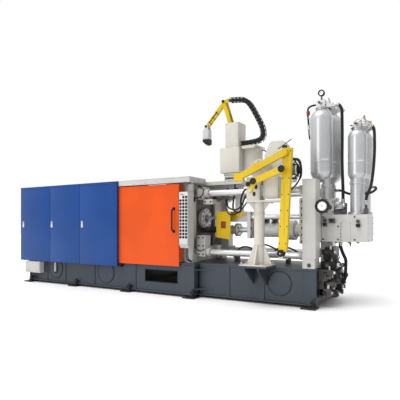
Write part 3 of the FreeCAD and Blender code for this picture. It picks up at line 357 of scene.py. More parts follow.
def fixed_platen_paint(colour):
    """Light grey paint, with the bare dark iron of the machined recess."""
    material = painted("platen_grey", colour, gloss=0.42)
    tree = material.node_tree
    shader = tree.nodes["Principled BSDF"]
    split = tree.nodes.new("ShaderNodeSeparateXYZ")
    tree.links.new(object_place(tree), split.inputs[0])
    off_centre = sum_node(tree, "ABSOLUTE", split.outputs["Y"])
    across = spread(tree, off_centre, 0.328, 0.331, 1.0, 0.0)
    above = spread(tree, split.outputs["Z"], 0.799, 0.802)
    below = spread(tree, split.outputs["Z"], 1.663, 1.666, 1.0, 0.0)
    beyond = spread(tree, split.outputs["X"], 1.500, 1.510)
    room = sum_node(tree, "MULTIPLY", sum_node(tree, "MULTIPLY", across, above),
                    sum_node(tree, "MULTIPLY", below, beyond))
    marks = use_group(tree, CAST_SKIN, Grain_Scale=60.0)
    iron = blend_colour(tree, marks["Pits"], (0.035, 0.033, 0.030), (0.085, 0.080, 0.072))
    painted_colour = shader.inputs["Base Color"].links[0].from_socket
    tree.links.new(blend_colour(tree, room, painted_colour, iron), shader.inputs["Base Color"])
    return material


def slate_paint(colour):
    """Slate enamel, with a black oily deck, and painted shade that darkens the hollow inside the bed."""
    material = painted("slate_enamel", colour, gloss=0.36, dust=0.12, oil=0.5, chips=0.7)
    tree = material.node_tree
    shader = tree.nodes["Principled BSDF"]
    split = tree.nodes.new("ShaderNodeSeparateXYZ")
    place = object_place(tree)
    tree.links.new(place, split.inputs[0])
    geometry = tree.nodes.new("ShaderNodeNewGeometry")
    tilt = tree.nodes.new("ShaderNodeSeparateXYZ")
    tree.links.new(geometry.outputs["Normal"], tilt.inputs[0])
    level = spread(tree, sum_node(tree, "ABSOLUTE", tilt.outputs["Z"]), 0.6, 0.9)
    pools = spread(tree, noise(tree, place, 3.4, 5.0, 0.6), 0.25, 0.6, 0.5, 1.0)
    oiled = sum_node(tree, "MULTIPLY", level, pools)
    deck = blend_colour(tree, noise(tree, place, 17.0, 4.0), (0.012, 0.011, 0.009),
                        (0.050, 0.044, 0.036))
    # painted shade: inside the bed, below the deck, the colour is taken almost to black
    inner = spread(tree, split.outputs["X"], 2.020, 2.060, WIDE_INSIDE, NARROW_INSIDE)
    depth = sum_node(tree, "SUBTRACT", inner, sum_node(tree, "ABSOLUTE", split.outputs["Y"]))
    inside = spread(tree, depth, 0.0, 0.004)
    below = spread(tree, split.outputs["Z"], BED_TOP - 0.040, BED_TOP - 0.030, 1.0, 0.0)
    hollow = sum_node(tree, "MULTIPLY", sum_node(tree, "MULTIPLY", inside, below), 0.9)
    colour = blend_colour(tree, oiled, shader.inputs["Base Color"].links[0].from_socket, deck)
    # mixes in the painted shade of the bed's hollow
    colour = blend_colour(tree, hollow, colour, (0.004, 0.004, 0.005))
    tree.links.new(colour, shader.inputs["Base Color"])
    return material


COLOURS = {
    "bed_slate": (0.042, 0.052, 0.066), "cover_blue": (0.006, 0.050, 0.215),
    "guard_orange": (0.640, 0.072, 0.004), "light_grey": (0.500, 0.496, 0.476),
    "beige": (0.560, 0.540, 0.480), "white": (0.550, 0.550, 0.540),
    "silver": (0.520, 0.525, 0.535), "yellow": (0.600, 0.410, 0.000), "black": (0.006, 0.006, 0.0065),
}

MATERIALS = {
    "bed_slate": slate_paint(COLOURS["bed_slate"]),
    "foot_black": painted("black_enamel", COLOURS["black"], gloss=0.45, dust=0.6, chips=0.8),
    "cover_blue": painted("blue_enamel", COLOURS["cover_blue"], gloss=0.33, dust=0.06, oil=0.2, chips=0.25),
    "guard_orange": painted("orange_enamel", COLOURS["guard_orange"], gloss=0.30, dust=0.2, oil=0.12),
    "handle_black": moulded("handle_black", COLOURS["black"], gloss=0.42),
    "light_grey": painted("light_grey_enamel", COLOURS["light_grey"]),
    "beige": painted("beige_enamel", COLOURS["beige"], oil=0.2),
    "white_steel": painted("white_cast_paint", COLOURS["white"], gloss=0.34, coat=0.1, oil=0.45),
    "dark_steel": cast_iron("oily_iron", (0.085, 0.080, 0.074)),
    "rod_chrome": bare_metal("ground_chrome", (0.72, 0.72, 0.73), gloss=0.20),
    "nut_steel": bare_metal("turned_steel", (0.50, 0.50, 0.50), gloss=0.32),
    "bottle_silver": painted("silver_lacquer", COLOURS["silver"], gloss=0.30, coat=0.2, oil=0.3, chips=0.2,
                             flake=0.55),
    "arm_yellow": painted("yellow_enamel", COLOURS["yellow"], gloss=0.36, dust=0.15, oil=0.18, chips=0.5),
    "head_white": painted("head_grey_paint", (0.50, 0.52, 0.55), gloss=0.3),
    "rubber_black": moulded("black_rubber", (0.009, 0.009, 0.0095), gloss=0.55, grain=320.0),
    "platen_grey": fixed_platen_paint(COLOURS["light_grey"]),
    "rod_lacquer": painted("rod_lacquer", (0.62, 0.62, 0.62), gloss=0.24, coat=0.3, oil=0.35,
                           chips=0.1, flake=0.4),
    "panel_white": painted("panel_white", (0.60, 0.60, 0.59), gloss=0.4, dust=0.1, oil=0.05,
                           chips=0.0),
    "blank_red": painted("dark_red_plate", (0.28, 0.035, 0.018), gloss=0.5, chips=0.2),
    "button_red": moulded("button_red", (0.55, 0.02, 0.015), gloss=0.35),
    "button_green": moulded("button_green", (0.02, 0.26, 0.10), gloss=0.35),
    "brass": bare_metal("brass_fittings", (0.46, 0.36, 0.20), gloss=0.35),
    "dial_white": painted("dial_white", (0.85, 0.85, 0.84), gloss=0.3, dust=0.0, oil=0.0, chips=0.0),
}

for row in frame["record"]["subparts"]:
    node = frame["nodes"][row["node"]]
    node.data.materials.clear()
    node.data.materials.append(MATERIALS[row["material_slot"]])
for node_name, finish in (("fixed_platen", "platen_grey"), ("shot_frame_rods", "rod_lacquer"),
                          ("shot_rod", "rod_lacquer")):
    frame["nodes"][node_name].data.materials[0] = MATERIALS[finish]


# ---- part shapes: each returns a small bmesh that a piece then takes in

def block(low, high, edge=0.002, steps=2):
    """A box between two opposite corners with rounded edges."""
    part = bmesh.new()
    bmesh.ops.create_cube(part, size=1.0)
    size = [abs(b - a) for a, b in zip(low, high)]
    bmesh.ops.scale(part, vec=size, verts=part.verts)
    bmesh.ops.translate(part, vec=[(a + b) / 2 for a, b in zip(low, high)], verts=part.verts)
    if edge:
        edge = min(edge, 0.45 * min(size))
        bmesh.ops.bevel(part, geom=part.edges[:], offset=edge, segments=steps, profile=0.5,
                        affect="EDGES", material=-1)
    return part


def turned(profile, place=(0, 0, 0), axis="z", steps=32):
    """A lathe shape: a profile of (radius, distance along) spun round an axis."""
    part = bmesh.new()
    line = [part.verts.new((radius, 0.0, along)) for radius, along in profile]
    for first, second in zip(line, line[1:]):
        part.edges.new((first, second))
    bmesh.ops.spin(part, geom=part.verts[:] + part.edges[:], cent=(0, 0, 0), axis=(0, 0, 1),
                   angle=math.tau, steps=steps, use_merge=True)
    bmesh.ops.remove_doubles(part, verts=part.verts, dist=1e-6)
    bmesh.ops.recalc_face_normals(part, faces=part.faces)
    part.transform(facing(place, axis))
    return part


def drum(place, axis, length, radius, edge=0.002, steps=32):
    """A solid round bar with chamfered rims."""
    edge = min(edge, 0.4 * radius, 0.4 * length)
    profile = [(0.0, 0.0), (radius - edge, 0.0), (radius, edge), (radius, length - edge),
               (radius - edge, length), (0.0, length)]
    return turned(profile, place, axis, steps)


def hoop(place, axis, length, outer, inner, edge=0.001, steps=40):
    """A ring with chamfered outer rims."""
    profile = [(inner, 0.0), (outer - edge, 0.0), (outer, edge), (outer, length - edge),
               (outer - edge, length), (inner, length), (inner, 0.0)]
    return turned(profile, place, axis, steps)


def stepped_stub(place, axis, near, far, lengths):
    """A stub in two radii, with the ends of the near bar, the step and the far bar."""
    first, start, end = lengths
    profile = [(0.0, 0.0), (near, 0.0), (near, first), (far, start), (far, end), (0.0, end + 0.002)]
    return turned(profile, place, axis, 20)


def hexagon(place, axis, across, height):
    """A hexagon nut or bolt head with its corners chamfered."""
    part = bmesh.new()
    radius = across / math.sqrt(3)
    bmesh.ops.create_cone(part, cap_ends=True, segments=6, radius1=radius, radius2=radius,
                          depth=height)
    bmesh.ops.translate(part, vec=(0, 0, height / 2), verts=part.verts)
    rim = [edge for edge in part.edges if all(vert.co.z > height * 0.9 for vert in edge.verts)]
    bmesh.ops.bevel(part, geom=rim, offset=across * 0.07, segments=1, profile=0.5,
                    affect="EDGES", material=-1)
    part.transform(facing(place, axis))
    return part


def bolt(place, axis, across, stud=0.0):
    """A hexagon head on its washer, with an optional stud end."""
    part = hexagon((0, 0, across * 0.12), "z", across, across * 0.55)
    absorb(part, drum((0, 0, 0), "z", across * 0.12, across * 0.85, edge=0.0005, steps=20))
    if stud:
        absorb(part, drum((0, 0, across * 0.5), "z", stud, across * 0.3, edge=0.001, steps=14))
    part.transform(facing(place, axis))
    return part


def socket_screw(place, axis, radius):
    """A round screw head with a hexagon socket."""
    profile = [(0.0, 0.7), (0.5, 0.7), (0.5, 1.25), (0.86, 1.25), (1.0, 1.1), (1.0, 0.0), (0.0, 0.0)]
    return turned([(radius * out, radius * along) for out, along in profile], place, axis, 18)


def sheet_plate(outline, axis, start, depth, edge=0.002):
    """A flat plate: an outline in the plane across an axis, pushed out along it."""
    part = bmesh.new()
    places = {
        "x": lambda first, second: (start, first, second),
        "y": lambda first, second: (first, start, second),
        "z": lambda first, second: (first, second, start),
    }[axis]
    face = part.faces.new([part.verts.new(places(first, second)) for first, second in outline])
    pushed = bmesh.ops.extrude_face_region(part, geom=[face])
    step = {"x": (depth, 0, 0), "y": (0, depth, 0), "z": (0, 0, depth)}[axis]
    moved = [item for item in pushed["geom"] if isinstance(item, bmesh.types.BMVert)]
    bmesh.ops.translate(part, vec=step, verts=moved)
    if edge:
        bmesh.ops.bevel(part, geom=part.edges[:], offset=edge, segments=1, profile=0.5,
                        affect="EDGES", material=-1)
    bmesh.ops.recalc_face_normals(part, faces=part.faces)
    return part


def line_mesh(points, straight=False, resolution=8, radius=0.0, sides=0):
    """A mesh along one smooth or straight line: bare points, or a round pipe."""
    curve = bpy.data.curves.new("line", "CURVE")
    curve.dimensions = "3D"
    spline = curve.splines.new("POLY" if straight else "NURBS")
    spline.points.add(len(points) - 1)
    for target, (x, y, z) in zip(spline.points, points):
        target.co = (x, y, z, 1.0)
    if not straight:
        spline.order_u = 3
        spline.use_endpoint_u = True
    spline.resolution_u = resolution
    curve.bevel_depth = radius
    curve.bevel_resolution = sides
    curve.use_fill_caps = True
    holder = bpy.data.objects.new("line", curve)
    mesh = bpy.data.meshes.new_from_object(holder)
    bpy.data.objects.remove(holder)
    bpy.data.curves.remove(curve)
    return mesh


def tube(points, radius, straight=False):
    """A round pipe or cable along one smooth line."""
    mesh = line_mesh(points, straight, radius=radius, sides=3)
    part = bmesh.new()
    part.from_mesh(mesh)
    bpy.data.meshes.remove(mesh)
    return part


def absorb(whole, part, finish=0):
    """Takes a part into a piece, with its material."""
    for face in part.faces:
        face.material_index = finish
    mesh = bpy.data.meshes.new("part")
    part.to_mesh(mesh)
    part.free()
    whole.from_mesh(mesh)
    bpy.data.meshes.remove(mesh)


def piece(name, body, slot, parts, finishes=None, replaces=()):
    """Makes one visible piece from parts, each alone or paired with a material number."""
    whole = bmesh.new()
    for entry in parts:
        part, finish = entry if isinstance(entry, tuple) else (entry, 0)
        absorb(whole, part, finish)
    mesh = bpy.data.meshes.new(name)
    whole.to_mesh(mesh)
    whole.free()
    mesh.shade_smooth()
    mesh.set_sharp_from_angle(angle=math.radians(38))
    made = bpy.data.objects.new(name, mesh)
    bpy.context.collection.objects.link(made)
    for finish in finishes or (slot,):
        mesh.materials.append(MATERIALS[finish])
    if body:
        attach(made, body)
    if replaces:
        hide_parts(*replaces)
    return made


# ---- places, and parts that repeat over them

def grid(*spans):
    """Places where spans along x, y and z cross. A bare number is a span of one."""
    return list(itertools.product(*(span if isinstance(span, tuple) else (span,) for span in spans)))


def circle(place, axis, count, radius, turn=0.0, skip=()):
    """Places evenly round an axis through a place."""
    x, y, z = place
    found = []
    for step in range(count):
        if step not in skip:
            angle = turn + math.tau * step / count
            first, second = radius * math.cos(angle), radius * math.sin(angle)
            found.append({"x": (x, y + first, z + second), "y": (x + first, y, z + second),
                          "z": (x + first, y + second, z)}[axis])
    return found


def screws(places, axis, radius, finish=1):
    return [(socket_screw(place, axis, radius), finish) for place in places]


def bolts(places, axis, across, finish=1, stud=0.0):
    return [(bolt(place, axis, across, stud), finish) for place in places]


def nuts(places, axis, across, height, finish=1):
    return [(hexagon(place, axis, across, height), finish) for place in places]


def blocks(corners, edge=0.002, finish=0):
    return [(block(low, high, edge), finish) for low, high in corners]


def rim_bars(low, high, width):
    """The four bars inside the rim of a rectangle, each as two (x, z) corners."""
    (x0, z0), (x1, z1) = low, high
    return (((x0, z0), (x1, z0 + width)), ((x0, z1 - width), (x1, z1)),
            ((x0, z0), (x0 + width, z1)), ((x1 - width, z0), (x1, z1)))


# ---- bed and feet

def bed_details():
    """Jack bolts on their brackets, black cover rings as painted shadow gaps, screws, the deck's weld beads
    and black seam bars as painted shade.
    """
    jacks = []
    feet = [(x, 0.780, 0.730) for x in (-1.965, -0.655, 0.655, 1.965)] + [(3.855, 0.665, 0.600)]
    for (x, anchor, side), way in itertools.product(feet, OUTWARD):
        y = way * (anchor - 0.002)
        jacks.append(drum((x + 0.06, y, 0.054), "z", 0.10, 0.012, steps=18))
        jacks += nuts(grid(x + 0.06, y, (0.020, 0.060, 0.116)), "z", 0.042, 0.018, 0)
        jacks.append(block((x + 0.025, way * (side + 0.005), 0.084),
                           (x + 0.095, way * (anchor + 0.022), 0.116), edge=0.003))
        jacks.append(hoop((x, way * anchor, 0.020), "z", 0.004, 0.028, 0.0135))
    piece("jack_bolts", "machine", "foot_black", jacks)

    rings = []
    for x, z, radius, face in ((-1.220, 0.305, 0.190, WIDE_FACE), (0.127, 0.305, 0.195, WIDE_FACE),
                               (3.410, 0.320, 0.175, NARROW_FACE)):
        for way, axis in OUTWARD.items():
            # painted shadow: a black ring round each cover stands for the shadow gap at its edge
            rings.append((hoop((x, way * face, z), axis, 0.0105, radius + 0.007, radius - 0.004, 0.002), 1))
            rings += screws(circle((x, way * (face + 0.008), z), "y", 12, radius - 0.022, 0.2),
                            axis, 0.006, 0)
    piece("access_cover_rings", "machine", "foot_black", rings, ("bed_slate", "foot_black"))

    wide, narrow = WIDE_FACE + 0.0015, NARROW_FACE + 0.0015
    columns = [(x + side, wide) for x in BED_SEAMS for side in (0.0, 0.016)]
    columns += [(x, narrow) for x in (2.530, 2.600, 3.086, 3.174)]
    beads = []
    strips = []
    for way in OUTWARD:
        for x, face in columns:
            beads.append(tube(grid(x, way * face, (0.066, 0.29, 0.512)), 0.0045))
        beads.append(tube(grid((-2.0, 0.0, 2.035), way * wide, 0.5155), 0.004))
        beads.append(tube(grid((2.045, 3.0, 3.94), way * narrow, 0.5155), 0.004))
        for x in BED_SEAMS:
            # painted shade: a black bar in each seam stands for the shade in its gap
            strips.append(block((x + 0.002, way * 0.7285, 0.068), (x + 0.014, way * 0.7325, 0.510),
                                edge=0.001))
    piece("bed_weld_beads", "machine", "bed_slate", beads)
    piece("bed_seam_shade_strips", "machine", "foot_black", strips)


def window_frame():
    """A black rim round the chute through the bed and a black tray on its floor, both painted shade that
    keeps the chute dark.
    """
    (low_x, low_z), (high_x, high_z) = (1.030, 0.205), (1.710, 0.419)
    parts = []
    # painted shade: black bars round the chute's mouth
    for way in OUTWARD:
        for (x0, z0), (x1, z1) in rim_bars((low_x, low_z), (high_x, high_z), 0.010):
            parts.append(block((x0, way * 0.700, z0), (x1, way * 0.7335, z1)))
    # painted shade: a black sheet on the chute's floor
    parts.append(sheet_plate([(-0.700, 0.196), (0.700, 0.196), (0.700, low_z), (-0.700, low_z)],
                             "x", low_x, high_x - low_x, edge=0.0))
    piece("chute_frame", "machine", "rubber_black", parts)


def electrical_box_details():
    """Lid, quarter-turn locks and cable glands of the small box under the covers."""
    low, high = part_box("electrical_box")
    front = low.y
    parts = [block((low.x + 0.012, front - 0.006, low.z + 0.012),
                   (high.x - 0.012, front, high.z - 0.012), edge=0.003)]
    parts += screws(grid((low.x + 0.035, high.x - 0.035), front - 0.006,
                         (low.z + 0.035, high.z - 0.035)), "-y", 0.007)
    for x in (low.x + 0.12, low.x + 0.20, low.x + 0.28):
        parts.append((hexagon((x, front + 0.05, low.z), "-z", 0.030, 0.014), 2))
        parts.append((drum((x, front + 0.05, low.z - 0.012), "-z", 0.022, 0.011), 2))
    cable = ((0.20, 0.05, 0.03), (0.20, 0.05, 0.08), (0.22, 0.08, 0.12), (0.26, 0.12, 0.12))
    parts.append((tube([(low.x + dx, front + dy, low.z - drop) for dx, dy, drop in cable], 0.009), 2))
    piece("electrical_box_lid", "machine", "light_grey", parts,
          ("light_grey", "nut_steel", "handle_black"))


def sight_tube():
    """Upright oil sight tube on the bed, between two black fittings."""
    x, y = -1.200, -0.766
    parts = [(drum((x, y, 0.240), "z", 0.190, 0.009), 0)]
    for z in (0.222, 0.428):
        parts.append((block((x - 0.014, y - 0.014, z), (x + 0.014, -0.742, z + 0.024), edge=0.003), 1))
    for dx in (-0.015, 0.015):
        parts.append((block((x + dx - 0.002, y - 0.010, 0.240), (x + dx + 0.002, y + 0.010, 0.432),
                            edge=0.0), 0))
    piece("sight_tube", "machine", "light_grey", parts, ("panel_white", "handle_black"))


# ---- covers and guards

def span_cells(low, high, cuts, gap):
    """The stretches that are left of a span when grooves are cut in it."""
    edges = [low] + [value for cut in cuts for value in (cut - gap / 2, cut + gap / 2)] + [high]
    return list(zip(edges[0::2], edges[1::2]))


def folded_door(number, x_cuts):
    """A folded sheet door: grooved front skin, a black sheet behind it painted as the shade in the grooves,
    returned edges and back stiffeners.
    """
    node = "cover_door_" + str(number)
    low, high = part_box(node)
    front, fold, back = low.y, low.y + 0.006, high.y
    groove = 0.005
    parts = []
    for x0, x1 in span_cells(low.x, high.x, x_cuts, groove):
        for z0, z1 in span_cells(low.z, high.z, [COVER_HEADER], groove):
            parts.append(block((x0, front, z0), (x1, front + 0.005, z1), edge=0.0018, steps=3))
    # painted shade: this black sheet behind the skin shows through the grooves as their shade
    parts.append((block((low.x, front + 0.004, low.z), (high.x, front + 0.007, high.z), edge=0.0), 1))
    for (x0, z0), (x1, z1) in rim_bars((low.x, low.z), (high.x, high.z), 0.004):
        parts.append(block((x0, fold, z0), (x1, back, z1), edge=0.001))
    for share in (0.33, 0.67):
        x = low.x + (high.x - low.x) * share
        parts.append(block((x - 0.03, fold, low.z + 0.05), (x + 0.03, back, high.z - 0.05), edge=0.004))
    piece("cover_panel_" + str(number), node, "cover_blue", parts, ("cover_blue", "handle_black"),
          replaces=(node,))


def paddle_latch(name, body, x, way):
    """Chrome paddle latch in its shallow dish."""
    front = way * COVER_FACE
    inner = front + way * 0.003
    piece(name, body, "rod_chrome", [
        block((x - 0.024, front, 1.124), (x + 0.024, front + way * 0.004, 1.246), edge=0.003, steps=3),
        block((x - 0.015, inner, 1.150), (x + 0.015, front + way * 0.011, 1.238), edge=0.004, steps=3),
        drum((x, inner, 1.136), OUTWARD[way], 0.004, 0.007, edge=0.001)])


def covers():
    """Three grooved front doors with their latches, and the latches behind."""
    for number, x_cuts in enumerate(([-2.148], [], [0.440]), start=1):
        folded_door(number, x_cuts)
    for number, x in enumerate((-2.085, -1.215, -0.374), start=1):
        paddle_latch("cover_latch_" + str(number), "cover_door_" + str(number), x, -1)
        paddle_latch("rear_latch_" + str(number), "machine", x, 1)


def cover_end_details():
    """Louvres and screws of the end panel, and the seams of the roof."""
    x = -2.174
    parts = []
    for row in range(9):
        z = 0.700 + row * 0.045
        for y in (-0.35, 0.35):
            parts.append(block((x - 0.008, y - 0.17, z), (x + 0.004, y + 0.17, z + 0.022), edge=0.004))
    parts += screws(grid(x, (-0.74, 0.0, 0.74), (0.50, 1.20, 1.88)), "-x", 0.008)
    for seam in (-1.262, -0.442):
        parts.append(block((seam - 0.020, -0.770, 1.943), (seam + 0.020, 0.770, 1.949)))
    piece("cover_end_louvres", "machine", "cover_blue", parts, ("cover_blue", "nut_steel"))


def guard_details():
    """Handle feet, a black strip painted as the shadow gap at the left edge, roller bolts and back
    stiffeners of the orange guard.
    """
    low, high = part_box("safety_door")
    parts = [hoop((1.669, low.y - 0.002, z), "-y", 0.007, 0.026, 0.012) for z in (1.065, 1.439)]
    # painted shadow: a black strip along the left edge stands for the shadow gap beside the blue cover
    parts.append(block((low.x - 0.004, low.y + 0.004, low.z + 0.010),
                       (low.x + 0.002, low.y + 0.020, high.z - 0.010), edge=0.001))
    for x in (0.720, 1.540):
        parts += bolts(grid((x - 0.022, x + 0.022), -0.748, 1.868), "-y", 0.016)
        parts.append((drum((x, -0.748, 1.895), "-y", 0.006, 0.012), 1))
    piece("guard_fittings", "safety_door", "handle_black", parts, ("handle_black", "nut_steel"))
    piece("guard_stiffeners", "safety_door", "guard_orange", blocks(
        (((0.83, -0.766, 0.59), (0.89, -0.700, 1.82)), ((1.27, -0.766, 0.59), (1.33, -0.700, 1.82)),
         ((0.476, -0.766, 1.17), (1.748, -0.715, 1.23))), 0.004))


def canopy_details():
    """Screws and a seam along the canopy's beams, and their end caps."""
    parts = []
    for way, axis in OUTWARD.items():
        face = way * 0.800
        parts += screws([(0.56 + step * 0.27, face, 1.872) for step in range(6)], axis, 0.006)
        parts.append(block((0.500, face, 1.935), (1.974, way * 0.8025, 1.941), edge=0.001))
        parts.append(block((1.978, way * 0.795, 1.862), (1.984, way * 0.300, 1.944), edge=0.003))
        parts += screws([(1.984, way * y, 1.903) for y in (0.74, 0.52, 0.34)], "x", 0.007)
    piece("canopy_trim", "machine", "light_grey", parts, ("light_grey", "nut_steel"))


# ---- control panel

def control_panel_details():
    """White button plate, bezels, coloured caps, blank name strip and conduits."""
    front = -0.880
    parts = [block((1.846, front - 0.003, 0.872), (1.997, front, 1.688))]
    parts += screws(grid((1.852, 1.991), front - 0.003, (0.880, 1.28, 1.680)), "-y", 0.0035)
    parts.append((block((1.862, front - 0.0045, 1.640), (1.981, front - 0.002, 1.668), edge=0.001), 1))
    for hinge_z in (0.95, 1.60):
        parts.append((drum((2.005, -0.872, hinge_z), "z", 0.05, 0.005, steps=16), 1))
    piece("button_plate", "machine", "light_grey", parts, ("panel_white", "nut_steel"))

    finishes = {(3, 0): 1, (8, 0): 1, (8, 2): 2, (6, 0): 2}
    cap = [(0.0, 0.0), (0.0125, 0.0), (0.0135, 0.001), (0.0135, 0.004), (0.0118, 0.0055), (0.0, 0.0062)]
    caps = []
    for row in range(13):
        for column in ((0, 1, 2) if row else (1, 2)):
            x = 1.868 + column * BUTTON_PITCH
            z = 1.612 - row * BUTTON_PITCH
            caps.append((hoop((x, front - 0.003, z), "-y", 0.006, 0.0205, 0.0152), 0))
            caps.append((turned(cap, (x, -0.8935, z), "-y", 20), finishes.get((row, column), 0)))
    piece("button_caps", "machine", "handle_black", caps,
          ("handle_black", "button_red", "button_green"))

    pipes = []
    for x in (1.895, 1.925):
        pipes.append((hexagon((x, -0.760, 0.814), "-z", 0.030, 0.016), 1))
        pipes.append((tube([(x, -0.760, 0.806), (x, -0.760, 0.72), (x, -0.755, 0.64),
                            (x, -0.700, 0.59), (x, -0.640, 0.575)], 0.009), 0))
    piece("panel_conduits", "machine", "rubber_black", pipes, ("rubber_black", "nut_steel"))


# ---- clamp and shot unit

def platen_details():
    """Screws of the ring and its recess, bolts of the platens, and the die faces' slots, drawn as black
    strips that are partly their oily black and partly painted shade of their depth.
    """
    ring_face = 1.835
    parts = screws(circle((ring_face, 0.0, DIE_AXIS_Z), "x", 10, 0.142, math.radians(18), skip=(7,)),
                   "x", 0.011)
    parts.append((hoop((ring_face - 0.004, 0.0, DIE_AXIS_Z), "x", 0.012, 0.100, 0.078, 0.003), 0))
    parts += screws(grid(1.775, (-0.27, 0.27), (0.86, 1.05, 1.24, 1.43, 1.61)), "x", 0.013)
    piece("platen_ring_screws", "machine", "white_steel", parts, ("white_steel", "dark_steel"))

    faces = bolts(grid(1.820, (-0.570, 0.570), (0.62, 0.75, 1.20, 1.60, 1.79)), "x", 0.026, 0)
    faces += bolts(grid(1.895, (-0.56, -0.44, 0.44, 0.56), 0.700), "z", 0.036, 0)
    faces += bolts(grid((0.26, 0.42, -1.62, -1.50), (-0.50, 0.50), 1.800), "z", 0.034, 0)
    piece("platen_bolts", "machine", "nut_steel", faces)

    slots = []
    for face, way in ((1.480, -1), (0.500, 1)):
        for row in range(7):
            z = DIE_AXIS_Z - 0.42 + row * 0.14
            # the slot's black is partly its own oil and partly painted shade of the slot's depth
            slots.append(block((face, -0.355, z - 0.014), (face + way * 0.0015, 0.355, z + 0.014),
                               edge=0.0))
            for lip in (z - 0.017, z + 0.014):
                slots.append((block((face, -0.355, lip), (face + way * 0.003, 0.355, lip + 0.003),
                                    edge=0.0), 1))
    piece("platen_slots", "machine", "dark_steel", slots, ("rubber_black", "dark_steel"))


def bracket_details():
    """Split clamps, clamp screws and flange rings at both ends of the shot frame's rods."""
    bore = SHOT_ROD_RADIUS + 0.0005
    parts = []
    for way, axis in OUTWARD.items():
        y = way * TIE_Y
        for z, start in ((1.690, 2.12), (0.725, 2.15)):
            parts.append((hoop((start, y, z), "x", 0.022, 0.079, bore, 0.003), 0))
            parts.append((hoop((3.700, y, z), "x", 0.044, 0.074, bore, 0.004), 0))
            parts.append((hoop((3.655, y, z), "x", 0.046, 0.064, bore, 0.006), 0))
            parts += screws(circle((start + 0.022, y, z), "x", 6, 0.064, 0.3), "x", 0.006)
        parts += screws(grid((1.975, 2.035), way * 0.520, (1.615, 1.775)), axis, 0.013)
        parts += screws(grid((1.985, 2.065), way * 0.510, (0.69, 0.83, 0.96)), axis, 0.013)
    piece("rod_clamp_screws", "machine", "light_grey", parts, ("light_grey", "dark_steel"))


def under_bracket_blocks():
    """Grey supports below the upper bracket and between the rods, with their bolts."""
    parts = [(block((1.960, -0.330, 1.610), (2.130, -0.245, 1.700), edge=0.006), 0),
             (block((2.060, -0.500, 1.510), (2.230, -0.345, 1.592), edge=0.008), 0),
             (block((2.100, -0.300, 1.600), (2.300, -0.200, 1.690), edge=0.006), 1)]
    parts += bolts(grid((2.09, 2.20), -0.500, 1.550), "-y", 0.020)
    for x in (2.33, 2.50):
        parts.append((stepped_stub((x, -0.150, 1.790), "-z", 0.022, 0.014, (0.05, 0.06, 0.11)), 1))
    piece("bracket_supports", "machine", "light_grey", parts, ("light_grey", "dark_steel"))


def shot_cylinder_details():
    """Gland ring, flange bolts, port blocks and tie screws of the shot cylinder."""
    z = SHOT_AXIS_Z
    parts = [(hoop((2.655, 0.0, z), "x", 0.018, 0.092, 0.0435, 0.004), 1),
             (hoop((2.790, 0.0, z), "x", 0.030, 0.128, 0.112, 0.004), 0),
             (hoop((3.310, 0.0, z), "x", 0.034, 0.130, 0.112, 0.006), 0)]
    parts += screws(circle((2.671, 0.0, z), "x", 8, 0.104, 0.2), "-x", 0.008)
    parts += bolts(circle((3.344, 0.0, z), "x", 12, 0.140, 0.13), "-x", 0.020)
    parts += bolts(grid(2.790, (-0.225, 0.225), (0.98, 1.12, 1.25, 1.36)), "x", 0.022)
    for x in (2.86, 3.24):
        parts.append((block((x - 0.035, -0.040, z + 0.100), (x + 0.035, 0.040, z + 0.150), edge=0.004), 0))
        parts.append((hexagon((x, 0.0, z + 0.150), "z", 0.040, 0.022), 1))
        parts.append((block((x - 0.030, -0.136, z - 0.03), (x + 0.030, -0.100, z + 0.03), edge=0.004), 0))
        parts.append((hexagon((x, -0.136, z), "-y", 0.030, 0.014), 1))
    piece("shot_cylinder_fittings", "machine", "white_steel", parts, ("white_steel", "dark_steel"))

    coupling = [(hoop((2.330, 0.0, z), "x", 0.030, 0.080, 0.036, 0.006), 0),
                (hoop((2.395, 0.0, z), "x", 0.020, 0.076, 0.069, 0.003), 0),
                (hoop((2.440, 0.0, z), "x", 0.012, 0.1095, 0.106, 0.002), 1)]
    coupling += bolts(circle((2.487, 0.0, z), "x", 6, 0.088, 0.5), "x", 0.018)
    piece("rod_coupling", "shot_rod", "rod_chrome", coupling, ("rod_lacquer", "dark_steel"))


def end_frame_details():
    """Bolts of the end plate's front blocks and of the columns' feet and caps."""
    parts = []
    for way, axis in OUTWARD.items():
        parts += bolts([(3.699, way * 0.452, 0.933 + 0.096 * step) for step in range(7)], axis, 0.026)
        parts += bolts([(3.838, way * 0.596, 0.603)], axis, 0.034)
        parts.append(block((3.752, way * 0.590, 0.690), (3.918, way * 0.598, 0.704), edge=0.001))
        cap = way * 0.485
        parts.append(block((3.738, cap - 0.121, 1.809), (3.938, cap + 0.121, 1.819), edge=0.003))
        parts += screws(grid((3.778, 3.898), cap, 1.819), "z", 0.010)
    piece("end_frame_bolts", "machine", "light_grey", parts, ("light_grey", "dark_steel"))


def sleeve_guard_plate():
    """Blank dark-red plate with rivets on the yellow sheet, and the sheet's bolts."""
    y = -0.255
    parts = blocks((((2.258, y - 0.002, 1.118), (2.352, y, 1.232)),
                    ((2.268, y - 0.003, 1.128), (2.342, y - 0.0005, 1.222))), 0.001)
    parts += screws(grid((2.264, 2.346), y - 0.002, (1.124, 1.226)), "-y", 0.003)
    parts += screws(grid((2.190, 2.415), y, (1.02, 1.36)), "-y", 0.006)
    parts += bolts(grid((2.54, 2.61), -0.090, 1.367), "-y", 0.018)
    piece("sleeve_guard_plate", "machine", "arm_yellow", parts, ("blank_red", "nut_steel"))


# ---- pressure unit

